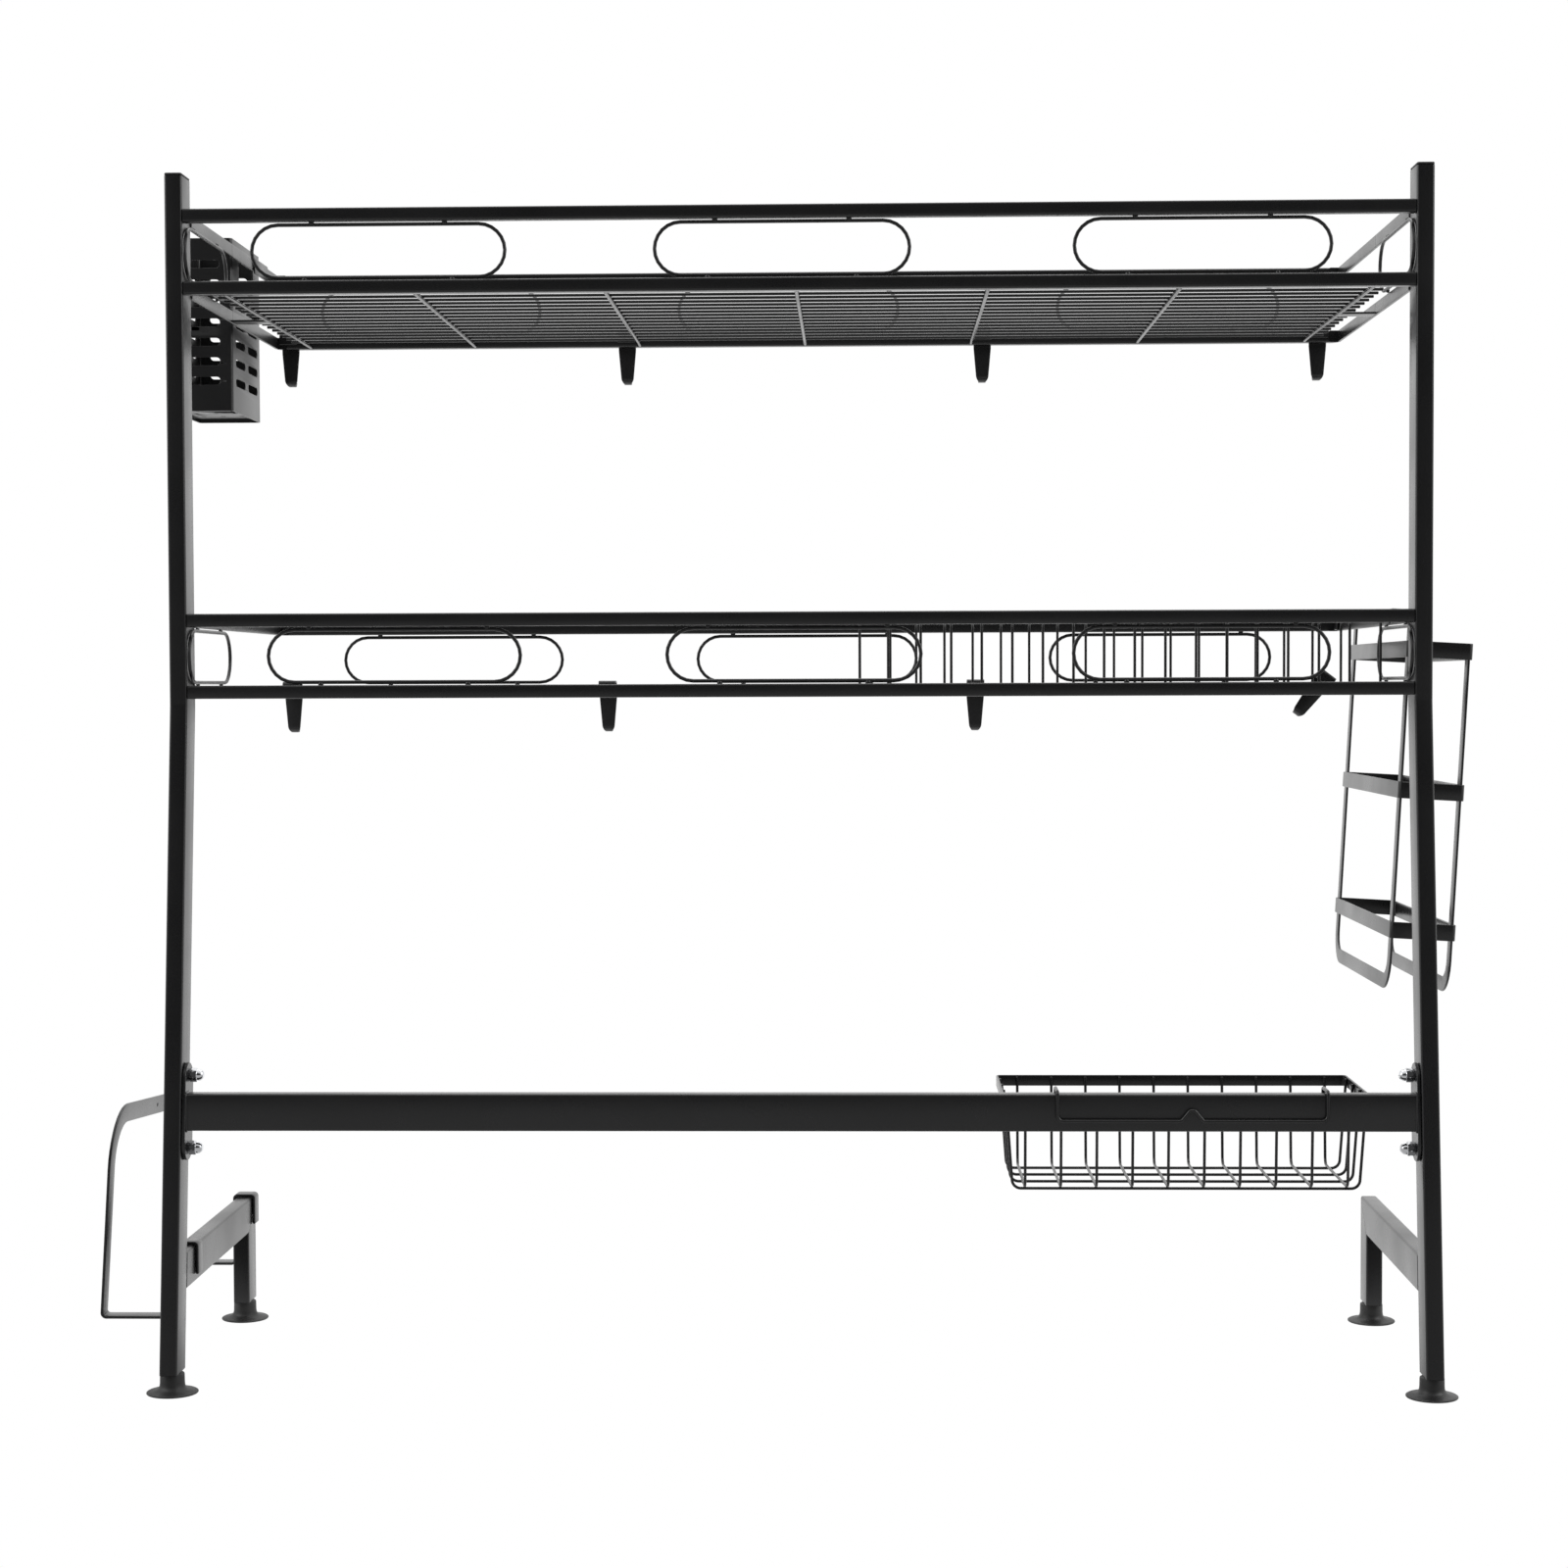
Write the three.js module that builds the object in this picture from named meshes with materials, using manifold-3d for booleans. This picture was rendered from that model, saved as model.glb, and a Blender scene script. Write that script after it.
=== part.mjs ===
// An over-sink dish rack of black powder-coated steel. Two bent side posts and two front
// legs stand astride the sink. They carry a lower crossbar and two wire shelves, and on
// these hang a cutlery box, a board guard, a pan-lid holder, a sponge basket, a plate
// divider and eight small hooks. Millimetres, +Z up, X across the sink, +Y towards the
// user, with the legs' feet on the plane Z = 0.
import * as THREE from 'three';
import { mergeVertices } from 'three/addons/utils/BufferGeometryUtils.js';
import Module from 'manifold-3d';

const wasm = await Module();
wasm.setup();

// Clearances that the whole part shares.
const seatGap = 0.3;        // between two pieces that touch
const overrun = 1;          // how far a cut runs past the face that it opens
const weldSink = 0.2;       // how deep one welded bar sinks into the other

// Posts: flat rectangular tube, bent once so that the foot stands further back.
const rackWidth = 850;
const rackHeight = 818;
const tubeWidth = 12;
const tubeDepth = 25;
const tubeWall = 1.2;
const kinkHeight = 460;
const backSet = 50.7;       // how far the post's foot line stands behind its top
const tubeEndHeight = 14;   // the tubes stop this far above the floor
const capThickness = 1.8;
const capPlugDepth = 9;
const capBevel = 0.6;

// Front legs: a horizontal arm mitred to a short upright.
const armBase = 66;
const legDepthPlace = 198.5;  // front face of the leg
const tongueLength = 12;
const tongueInset = 3;

// Feet.
const footDiameter = 34.5;
const footRim = 1.1;
const footFlare = 4.2;
const bossDiameter = 16.3;
const footPlugLength = 14;
const footPlugGap = 0.6;      // between the plug and the tube's wall
const footFlareShares = [[1, 0], [0.8, 0.25], [0.62, 0.5]];  // of the spread, of the flare

// Crossbar between the posts, with a welded flange and two bolts at each end.
const crossbarHeight = 187;
const crossbarTall = 25;
const crossbarDeep = 12;
const crossbarWall = 1.2;
const crossbarInset = 2.5;    // behind the rear face of the posts
const flangeTall = 65.5;
const flangeWide = 22;
const flangeThickness = 2.3;
const boltSpread = 24.3;      // from the middle of the crossbar to each bolt
const boltDiameter = 4.6;
const boltHeadDiameter = 8.4;
const boltHeadThickness = 2.6;
const boltClearance = 0.35;   // round a shank or a head
const accessClearance = 1.2;  // round a head that passes through the outer wall
const nutAcrossFlats = 8.3;
const nutHexLength = 5;
const nutDomeRadius = 3.7;
const nutBoreDepth = 6.5;

// Shelves.
const railSize = 9;
const railWall = 1;
const endPlate = 1.6;
const sideBarThickness = 2;
const panelHeight = 57.5;
const shelfDepth = 320;
const topShelfDrop = 81.7;    // from the rack's top to the foot of the shelf's rails
const middleShelfRise = 4;    // from the posts' bend to the foot of the shelf's rails
const seamPlace = 152.3;      // where the rear brackets meet the front returns
const cornerRadius = 7.5;
const loopWire = 2.5;
const loopWidthShare = 0.20424;  // of the rack's width, as are the loops' middles
const topRearLoopShares = [-0.3309, -0.0111, 0.3198];
const topFrontLoopShares = [-0.3449, -0.0155, 0.3315];
const middleRearLoopShares = [-0.3208, -0.0027, 0.3192];
const middleFrontLoopShares = [-0.3262, 0.0006, 0.3248];
const loopSink = 0.15;        // the loops are pressed this far into the rails
const sideLoopWidth = 126;
const sideLoopHeight = 37.7;
const nubSpread = 35;
const nubLength = 3;
const nubReach = 2.4;
const screwDiameter = 3.4;
const screwHeadDiameter = 5.4;
const screwHeadThickness = 2.2;
const screwReach = 5;

// Shelf grids.
const rodSize = 2.5;
const rodPitchShare = 0.15176;  // of the rack's width
const rodPairs = 3;
const wireOverhang = 12;      // how far the wires run past the last rod
const wireSize = 2.2;
const wirePitch = 17.8;
const wireCount = 16;
const tabLength = 16;
const tabThickness = 1.6;

// Hooks on the front bottom rails. Their places are shares of the rack's width.
const hookWidth = 13.6;
const hookThickness = 1.6;
const hookDrop = 28;
const hookTipWidth = 7.4;
const hookTipCut = 1.6;       // off each lower corner
const hookCurl = 9;
const hookTipRise = 6;
const hookBend = 1.9;
const hookHeadroom = 1.4;     // between the clip's roof and the rail
const hookShortfall = 3.3;    // how far above the rail's foot the short leg ends
const hookTaperDrop = 2;      // how far below the rail the long leg starts to taper
const hookTilt = 0.65;        // of the one hook that has swung aside
const hookTiltRise = 4.9;
const topHookShares = [-0.47647, -0.16435, 0.16247, 0.46918];
const middleHookShares = [-0.47671, -0.18376, 0.15565, 0.47412];

// Cutlery box on the top shelf's left side rail.
const boxWidth = 48;
const boxDepth = 96;
const boxHeight = 128;
const boxPlace = 198;         // its rear face
const boxDrop = 116.3;        // the foot of its walls below the top of the rail
const boxFloorLift = 4.7;     // of its floor above the foot of its walls
const boxSheet = 1;
const boxRailGap = 1.7;
const boxTabWidth = 46;
const boxTabDrop = 12;
const boxSlit = 1.3;
const slotRows = 7;
const innerSlotRows = 5;      // the wall beside the rail leaves room for the tab
const slotPitch = 14.4;
const slotTall = 6;
const slotLong = 29.4;
const sideSlotLong = 32;
const sideSlotSpread = 21;
const slotStart = 22.4;       // the lowest row above the foot of the walls
const drainDiameter = 4.5;
const drainPitchX = 15;
const drainPitchY = 24;

// Lid holder on the middle shelf's right side rail.
const holderLean = 0.0565;
const holderReach = 6.6;      // from the rail's middle to the rings' inner face
const holderWidth = 46;
const holderPlace = 78;       // rear face of the rings
const holderDepth = 230;
const ringTall = 11.5;
const ringThickness = 1.6;
const ringRadius = 3;
const ringDrops = [25.3, 123.8, 221.8];
const strapWide = 10.5;
const strapThickness = 1.6;
const strapDrop = 265;
const strapRadius = 24;
const strapTongue = 8.6;
const holderRoofGap = 0.6;
const holderTongueGap = 0.9;  // lets the hooks tilt past the rail as they lift

// Board guard on the left arm.
const guardWide = 12.7;
const guardThickness = 2;
const guardTongue = 20;
const guardFloor = 41;        // height of the two bottom runs
const guardReach = 53;        // from the arm's outer face to the guard
const guardTopRear = 185;     // its top run falls a little towards the user
const guardTopFront = 170;
const guardLean = 0.061;
const guardRadius = 40;
const guardRear = 6;
const guardHole = 3;
const guardHoleInset = 124.6;

// Sponge basket in front of the crossbar, and the wire that hangs it there.
const basketInset = 41;       // from the post's outer face to the basket's right end
const basketWidth = 246.5;
const basketDepth = 105;
const basketGap = 1.8;        // from the crossbar's front upper edge to the rim
const basketTop = 196;
const basketFloor = 132;
const rimTall = 7.6;
const rimThickness = 1.4;
const rimRadius = 3;
const basketWire = 2;
const crossWireInset = 14.9;
const crossWirePitch = 24;
const crossWireCount = 10;
const longWireCount = 4;
const basketBend = 6;
const basketTaper = 4;        // how far the walls draw in towards the floor
const endTaper = 4.6;
const hangerWire = 2.4;
const hangerInset = 35;       // from the basket's left end
const hangerWidth = 178.7;
const hangerFloor = 182;
const hangerBend = 2;
const hangerFrontGap = 0.4;   // from the rim band
const hangerRearGap = 0.9;    // from the crossbar
const notchRise = 7;
const notchBase = 14.7;
const notchTop = 3.2;

// Plate divider on the middle shelf's grid.
const dividerWire = 2;
const dividerInset = 17.5;    // from the post's outer face to the last hoop
const dividerPitch = 21.5;
const dividerCount = 18;
const rearWireCount = 4;      // grid wires behind the one that its rear rod lies on
const frontWireCount = 13;    // and behind the one under its front rod
const dividerHeight = 52;
const dividerBend = 8;

// Facets of round work.
const wireSides = 4;
const hangerSides = 6;
const holeSides = 8;
const slotSteps = 3;
const flangeSteps = 6;
const bendSteps = 1;
const wideBendSteps = 2;
const cornerSteps = 3;
const loopSteps = 4;
const discSides = 16;
const hexSides = 6;
const domeRings = 6;

const postInner = rackWidth / 2 - tubeWidth;
const lean = Math.atan(backSet / kinkHeight);
const up = { y: Math.sin(lean), z: Math.cos(lean) };
const ahead = { y: Math.cos(lean), z: -Math.sin(lean) };
const tubeTop = rackHeight - capThickness;
const railMiddle = postInner + railSize / 2;
const panelGap = panelHeight - 2 * railSize;
const topShelfBase = rackHeight - topShelfDrop;
const middleShelfBase = kinkHeight + middleShelfRise;
const loopWidth = rackWidth * loopWidthShare;
const rodPitch = rackWidth * rodPitchShare;
const basketRight = rackWidth / 2 - basketInset;
const basketLeft = basketRight - basketWidth;
const dividerStart = rackWidth / 2 - dividerInset - (dividerCount - 1) * dividerPitch;
const sides = [['left', -1], ['right', 1]];
const shelves = [
  ['top_shelf', topShelfBase, topRearLoopShares, topFrontLoopShares],
  ['middle_shelf', middleShelfBase, middleRearLoopShares, middleFrontLoopShares],
];

const coat = { color: 0x1c1c1d, roughness: 0.5, metalness: 0.1 };
const finishes = {
  coat: new THREE.MeshStandardMaterial(coat),
  coatedWire: new THREE.MeshStandardMaterial({ color: 0x232323, roughness: 0.45, metalness: 0.1 }),
  sheet: new THREE.MeshStandardMaterial({ color: 0x1a1a1b, roughness: 0.55, metalness: 0.1 }),
  plastic: new THREE.MeshStandardMaterial({ color: 0x151515, roughness: 0.6, metalness: 0 }),
  foot: new THREE.MeshStandardMaterial({ color: 0x1a1a1a, roughness: 0.75, metalness: 0 }),
  chrome: new THREE.MeshStandardMaterial({ color: 0xd5d6d8, roughness: 0.15, metalness: 1 }),
  zinc: new THREE.MeshStandardMaterial({ color: 0xb9bbbd, roughness: 0.35, metalness: 1 }),
};

const rack = new THREE.Group();

// A closed solid from a geometry whose faces point out.
function solid(geometry) {
  const plain = geometry.clone();
  plain.deleteAttribute('normal');
  plain.deleteAttribute('uv');
  const merged = mergeVertices(plain);
  return new wasm.Manifold(new wasm.Mesh({
    numProp: 3,
    vertProperties: new Float32Array(merged.attributes.position.array),
    triVerts: new Uint32Array(merged.index.array),
  }));
}

function add(name, body, finish) {
  const faces = body.getMesh();
  const geometry = new THREE.BufferGeometry();
  geometry.setAttribute('position', new THREE.BufferAttribute(faces.vertProperties, 3));
  geometry.setIndex(new THREE.BufferAttribute(faces.triVerts, 1));
  geometry.computeVertexNormals();
  const mesh = new THREE.Mesh(geometry, finishes[finish]);
  mesh.name = name;
  rack.add(mesh);
  return mesh;
}

function joined(bodies) {
  return bodies.reduce((whole, body) => whole.add(body));
}

function block(x0, x1, y0, y1, z0, z1) {
  const geometry = new THREE.BoxGeometry(Math.abs(x1 - x0), y1 - y0, z1 - z0);
  return solid(geometry.translate((x0 + x1) / 2, (y0 + y1) / 2, (z0 + z1) / 2));
}

// Prisms from an outline of pairs: the pair is (y, z), (x, z) or (x, y).
function prism(outline, depth) {
  const shape = new THREE.Shape(outline.map(([a, b]) => new THREE.Vector2(a, b)));
  return new THREE.ExtrudeGeometry(shape, { depth, bevelEnabled: false });
}

function prismX(outline, x0, x1) {
  const turn = new THREE.Matrix4().set(0, 0, 1, x0, 1, 0, 0, 0, 0, 1, 0, 0, 0, 0, 0, 1);
  return solid(prism(outline, x1 - x0).applyMatrix4(turn));
}

function prismY(outline, y0, y1) {
  return solid(prism(outline, y1 - y0).rotateX(Math.PI / 2).translate(0, y1, 0));
}

function prismZ(outline, z0, z1) {
  return solid(prism(outline, z1 - z0).translate(0, 0, z0));
}

function roundPin(diameter, x0, x1, y, z, count = holeSides) {
  const geometry = new THREE.CylinderGeometry(diameter / 2, diameter / 2, x1 - x0, count);
  return solid(geometry.rotateZ(-Math.PI / 2).translate((x0 + x1) / 2, y, z));
}

// Corners of a path, each replaced by an arc. Points are Vector3.
function rounded(points, radius, steps = bendSteps) {
  const path = [points[0]];
  for (let i = 1; i < points.length - 1; i += 1) {
    const back = points[i - 1].clone().sub(points[i]).normalize();
    const on = points[i + 1].clone().sub(points[i]).normalize();
    const half = back.angleTo(on) / 2;
    const middle = back.clone().add(on).normalize();
    const centre = points[i].clone().addScaledVector(middle, radius / Math.sin(half));
    const start = points[i].clone().addScaledVector(back, radius / Math.tan(half)).sub(centre);
    const axis = back.clone().cross(on).normalize();
    const swing = Math.PI - 2 * half;
    for (let k = 0; k <= steps; k += 1) {
      const spoke = start.clone().applyAxisAngle(axis, -swing * k / steps);
      path.push(spoke.add(centre));
    }
  }
  path.push(points[points.length - 1]);
  return path;
}

function roundedPairs(pairs, radius, steps = bendSteps) {
  const points = pairs.map(([a, b]) => new THREE.Vector3(a, b, 0));
  return rounded(points, radius, steps).map((point) => [point.x, point.y]);
}

// Outline of a strip of even thickness whose middle follows a path of pairs.
function stripOutline(pairs, thickness) {
  const points = pairs.map(([a, b]) => new THREE.Vector2(a, b));
  const offset = (sign) => points.map((point, i) => {
    const before = point.clone().sub(points[Math.max(i - 1, 0)]);
    const after = points[Math.min(i + 1, points.length - 1)].clone().sub(point);
    const first = (i > 0 ? before : after).normalize();
    const second = (i < points.length - 1 ? after : before).normalize();
    const normal = new THREE.Vector2(-first.y - second.y, first.x + second.x).normalize();
    const reach = thickness / 2 / (normal.x * -first.y + normal.y * first.x);
    return [point.x + sign * reach * normal.x, point.y + sign * reach * normal.y];
  });
  return [...offset(1), ...offset(-1).reverse()];
}

// A path that visits its own points at even parameters, so that a sweep keeps its corners.
class BentWire extends THREE.Curve {
  constructor(points, closed) {
    super();
    this.points = points;
    this.closed = closed;
  }

  getPointAt(share, target = new THREE.Vector3()) {
    const spans = this.points.length - 1;
    return target.copy(this.points[Math.round(share * spans)]);
  }

  getTangentAt(share, target = new THREE.Vector3()) {
    const spans = this.points.length - 1;
    const i = Math.round(share * spans);
    const wrap = this.closed ? spans : 0;
    const before = i > 0 ? i - 1 : wrap - 1;
    const after = i < spans ? i + 1 : 1;
    target.set(0, 0, 0);
    if (i > 0 || this.closed) {
      target.add(this.points[i].clone().sub(this.points[before]).normalize());
    }
    if (i < spans || this.closed) {
      target.add(this.points[after].clone().sub(this.points[i % spans]).normalize());
    }
    return target.normalize();
  }
}

// Wire of a regular section whose flats lie at the wire's radius.
function wireGeometry(points, diameter, count, closed) {
  const radius = diameter / 2 / Math.cos(Math.PI / count);
  const section = new THREE.Shape();
  for (let k = 0; k < count; k += 1) {
    const angle = (k + 0.5) * 2 * Math.PI / count;
    const corner = [radius * Math.cos(angle), radius * Math.sin(angle)];
    if (k === 0) section.moveTo(...corner);
    else section.lineTo(...corner);
  }
  const extrudePath = new BentWire(points, closed);
  return new THREE.ExtrudeGeometry(section, { steps: points.length - 1, extrudePath });
}

function wire(points, diameter, count = wireSides) {
  return solid(wireGeometry(points, diameter, count, false));
}

// A closed hoop: only the side walls of the sweep, whose ends then meet.
function hoop(points, diameter) {
  const swept = wireGeometry([...points, points[0]], diameter, wireSides, true);
  const walls = swept.groups[1];
  const end = walls.start + walls.count;
  const corners = swept.attributes.position.array.slice(3 * walls.start, 3 * end);
  const geometry = new THREE.BufferGeometry();
  geometry.setAttribute('position', new THREE.BufferAttribute(corners, 3));
  return solid(geometry);
}

// Middle line of an oval loop in its own plane, from the middle of its lower run.
function ovalPairs(width, height) {
  const radius = height / 2;
  const reach = width / 2 - radius;
  const pairs = [[0, -radius]];
  for (const [centre, from] of [[reach, -Math.PI / 2], [-reach, Math.PI / 2]]) {
    for (let k = 0; k <= loopSteps; k += 1) {
      const angle = from + Math.PI * k / loopSteps;
      pairs.push([centre + radius * Math.cos(angle), radius * Math.sin(angle)]);
    }
  }
  return pairs;
}

// Rear face of the leaning part of a post at a height.
function postRear(z) {
  return -Math.tan(lean) * (kinkHeight - z);
}

function postFront(z) {
  return postRear(z) + tubeDepth / Math.cos(lean);
}

// Outline of a post in its own plane, drawn in from the tube's faces by inset.
function postOutline(inset, top, bottom) {
  const bend = Math.tan(lean / 2);
  const slope = Math.tan(lean);
  const rearX = inset;
  const frontX = tubeDepth - inset;
  const rearKink = kinkHeight - rearX * bend;
  const frontKink = kinkHeight - frontX * bend;
  return [
    [rearX, top], [rearX, rearKink], [rearX - slope * (rearKink - bottom), bottom],
    [frontX - slope * (frontKink - bottom), bottom], [frontX, frontKink], [frontX, top],
  ];
}

// Places of the crossbar's bolts along the post.
function alongPost(distance) {
  const middle = crossbarInset + crossbarDeep / 2;
  const y = postRear(crossbarHeight) + middle / Math.cos(lean);
  return { y: y + up.y * distance, z: crossbarHeight + up.z * distance };
}

function flangeMiddle(distance) {
  const shift = tubeDepth / 2 - crossbarInset - crossbarDeep / 2;
  const place = alongPost(distance);
  return { y: place.y + ahead.y * shift, z: place.z + ahead.z * shift };
}

// Front upper edge of the crossbar, which the basket hangs in front of.
const barCorner = alongPost(crossbarTall / 2);
const basketRear = barCorner.y + ahead.y * crossbarDeep / 2 + basketGap;
const basketFront = basketRear + basketDepth;

const boltPlaces = [['upper', flangeMiddle(boltSpread)], ['lower', flangeMiddle(-boltSpread)]];
const screwPlaces = shelves.flatMap(([shelf, base]) => [
  [`${shelf}_screw`, 'lower', base + railSize / 2],
  [`${shelf}_screw`, 'upper', base + panelHeight - railSize / 2],
]);

function order(a, b) {
  return [Math.min(a, b), Math.max(a, b)];
}

// Hole through the inner wall for a shank, and through the outer wall for its head.
function fixingHoles(sign, y, z, shank, head) {
  const inner = sign * (postInner - overrun);
  const middle = sign * (postInner + tubeWidth / 2);
  const outer = sign * (postInner + tubeWidth + overrun);
  const shankHole = roundPin(shank, ...order(inner, middle), y, z);
  return shankHole.add(roundPin(head, ...order(middle, outer), y, z));
}

function armRear(z) {
  return postFront(z) + seatGap;
}

function post(sign) {
  const outer = postOutline(0, tubeTop, tubeEndHeight);
  const bore = postOutline(tubeWall, tubeTop + overrun, tubeEndHeight - overrun);
  const [x0, x1] = sign > 0 ? [postInner, postInner + tubeWidth] : [-postInner - tubeWidth, -postInner];
  const tongueHole = block(
    x0 + tongueInset - seatGap, x1 - tongueInset + seatGap,
    postFront(armBase) - tubeWall - overrun, postFront(armBase + tubeDepth) + overrun,
    armBase + tongueInset - seatGap, armBase + tubeDepth - tongueInset + seatGap,
  );
  let body = prismX(outer, x0, x1).subtract(prismX(bore, x0 + tubeWall, x1 - tubeWall));
  body = body.subtract(tongueHole);
  for (const [, place] of boltPlaces) {
    body = body.subtract(fixingHoles(sign, place.y, place.z, boltDiameter + 2 * boltClearance,
      boltHeadDiameter + accessClearance));
  }
  for (const [, , z] of screwPlaces) {
    body = body.subtract(fixingHoles(sign, railSize / 2, z, screwDiameter + 2 * boltClearance,
      screwHeadDiameter + boltClearance));
  }
  return body;
}

function cap(sign) {
  const plugGap = tubeWall + seatGap;
  const x0 = sign * (postInner + tubeWidth / 2) - tubeWidth / 2;
  const plug = block(x0 + plugGap, x0 + tubeWidth - plugGap, plugGap, tubeDepth - plugGap,
    tubeTop - capPlugDepth, tubeTop + capThickness / 2);
  const face = new THREE.Shape([
    new THREE.Vector2(x0 + capBevel, capBevel),
    new THREE.Vector2(x0 + tubeWidth - capBevel, capBevel),
    new THREE.Vector2(x0 + tubeWidth - capBevel, tubeDepth - capBevel),
    new THREE.Vector2(x0 + capBevel, tubeDepth - capBevel),
  ]);
  const plate = new THREE.ExtrudeGeometry(face, {
    depth: capThickness - seatGap - 2 * capBevel,
    bevelSize: capBevel, bevelThickness: capBevel, bevelSegments: 1,
  });
  return solid(plate.translate(0, 0, tubeTop + seatGap + capBevel)).add(plug);
}

// Arm and leg of one side: one tube, mitred at the corner and open at the foot.
function sideLeg(sign) {
  const x0 = sign * (postInner + tubeWidth / 2) - tubeWidth / 2;
  const legRear = legDepthPlace - tubeDepth;
  const armTop = armBase + tubeDepth;
  const outer = [
    [armRear(armBase), armBase], [legRear, armBase], [legRear, tubeEndHeight],
    [legDepthPlace, tubeEndHeight], [legDepthPlace, armTop], [armRear(armTop), armTop],
  ];
  const boreRear = armRear(armTop) + tongueInset;
  const bore = [
    [boreRear, armBase + tubeWall], [legRear + tubeWall, armBase + tubeWall],
    [legRear + tubeWall, tubeEndHeight - overrun], [legDepthPlace - tubeWall, tubeEndHeight - overrun],
    [legDepthPlace - tubeWall, armTop - tubeWall], [boreRear, armTop - tubeWall],
  ];
  const tongue = block(x0 + tongueInset, x0 + tubeWidth - tongueInset,
    armRear(armBase) - tongueLength + tongueInset, boreRear - tongueInset / 2,
    armBase + tongueInset, armTop - tongueInset);
  const tube = prismX(outer, x0, x0 + tubeWidth);
  return tube.subtract(prismX(bore, x0 + tubeWall, x0 + tubeWidth - tubeWall)).add(tongue);
}

// A foot: a flared disc, a round boss up to the tube's end and a plug inside it.
function foot(plugLean) {
  const radius = footDiameter / 2;
  const bossRadius = bossDiameter / 2;
  const bossTop = tubeEndHeight - seatGap;
  const profile = [new THREE.Vector2(0, 0), new THREE.Vector2(radius, 0)];
  for (const [across, rise] of footFlareShares) {
    const r = bossRadius + (radius - bossRadius) * across;
    profile.push(new THREE.Vector2(r, footRim + footFlare * rise));
  }
  profile.push(new THREE.Vector2(bossRadius, footFlare), new THREE.Vector2(bossRadius, bossTop));
  profile.push(new THREE.Vector2(0, bossTop));
  const disc = solid(new THREE.LatheGeometry(profile, discSides).rotateX(Math.PI / 2));
  const plugGap = tubeWall + footPlugGap;
  const plug = new THREE.BoxGeometry(tubeWidth - 2 * plugGap, tubeDepth - 2 * plugGap, footPlugLength);
  plug.translate(0, 0, footPlugLength / 2 - footFlare).rotateX(-plugLean).translate(0, 0, bossTop);
  return disc.add(solid(plug));
}

function crossbar() {
  const end = postInner - seatGap;
  const halfTall = crossbarTall / 2;
  const halfDeep = crossbarDeep / 2;
  const middle = tubeDepth / 2 - crossbarInset - halfDeep;
  let body = block(-end, end, -halfDeep, halfDeep, -halfTall, halfTall);
  const ends = flangeWide / 2;
  const flangeLine = [];
  for (const [from, shift] of [[0, 1], [Math.PI, -1]]) {
    for (let k = 0; k <= flangeSteps; k += 1) {
      const angle = from + Math.PI * k / flangeSteps;
      const centre = shift * (flangeTall / 2 - ends);
      flangeLine.push([middle + ends * Math.cos(angle), centre + ends * Math.sin(angle)]);
    }
  }
  for (const [x0, x1] of [[-end, -end + flangeThickness], [end - flangeThickness, end]]) {
    body = body.add(prismX(flangeLine, x0, x1));
    for (const z of [-boltSpread, boltSpread]) {
      const hole = roundPin(boltDiameter + 2 * boltClearance, x0 - overrun, x1 + overrun, middle, z);
      body = body.subtract(hole);
    }
  }
  const bore = block(-end - overrun, end + overrun, crossbarWall - halfDeep, halfDeep - crossbarWall,
    crossbarWall - halfTall, halfTall - crossbarWall);
  return body.subtract(bore);
}

// A fixing along X, pointing towards the rack's middle: its head bears on the inner wall.
function fixing(sign, y, z, shank, head, headThickness, reach) {
  const seat = postInner + tubeWall + seatGap;
  const pins = [[head, seat, seat + headThickness], [shank, postInner - reach, seat + weldSink]];
  return joined(pins.map(([diameter, from, to]) => {
    const [x0, x1] = sign > 0 ? [from, to] : [-to, -from];
    return roundPin(diameter, x0, x1, y, z);
  }));
}

function acornNut(sign, y, z) {
  const start = seatGap + flangeThickness + seatGap;
  const across = nutAcrossFlats / Math.cos(Math.PI / hexSides);
  const hex = new THREE.CylinderGeometry(across / 2, across / 2, nutHexLength, hexSides);
  const dome = new THREE.SphereGeometry(nutDomeRadius, holeSides, domeRings);
  const bore = boltDiameter + 2 * boltClearance;
  const body = solid(hex.translate(0, nutHexLength / 2, 0)).add(solid(dome.translate(0, nutHexLength, 0)));
  const hole = new THREE.CylinderGeometry(bore / 2, bore / 2, nutBoreDepth + overrun, holeSides);
  const hollow = body.subtract(solid(hole.translate(0, (nutBoreDepth - overrun) / 2, 0)));
  const faces = hollow.rotate([0, 0, sign * 90]);
  return faces.translate([sign * (postInner - start), y, z]);
}

// Panel of two square tubes along X with three oval loops between them.
function railX(x0, x1, y0, z0, screwHoles) {
  const rail = block(x0, x1, y0, y0 + railSize, z0, z0 + railSize);
  const ends = screwHoles ? endPlate : -overrun;
  const bore = block(x0 + ends, x1 - ends, y0 + railWall, y0 + railSize - railWall,
    z0 + railWall, z0 + railSize - railWall);
  if (!screwHoles) return rail.subtract(bore);
  const hole = roundPin(screwDiameter + 2 * boltClearance, x0 - overrun, x1 + overrun,
    y0 + railSize / 2, z0 + railSize / 2);
  return rail.subtract(bore).subtract(hole);
}

function panelLoops(y, base, shares) {
  const middle = base + panelHeight / 2;
  const line = ovalPairs(loopWidth - loopWire, panelGap + 2 * loopSink - loopWire);
  return shares.map((share) => hoop(
    line.map(([a, b]) => new THREE.Vector3(rackWidth * share + a, y, middle + b)), loopWire));
}

function rearPanel(base, shares) {
  const end = postInner - seatGap;
  const upper = base + panelHeight - railSize;
  const rails = [base, upper].map((z) => railX(-end, end, 0, z, true));
  return joined([...rails, ...panelLoops(railSize / 2, base, shares)]);
}

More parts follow.
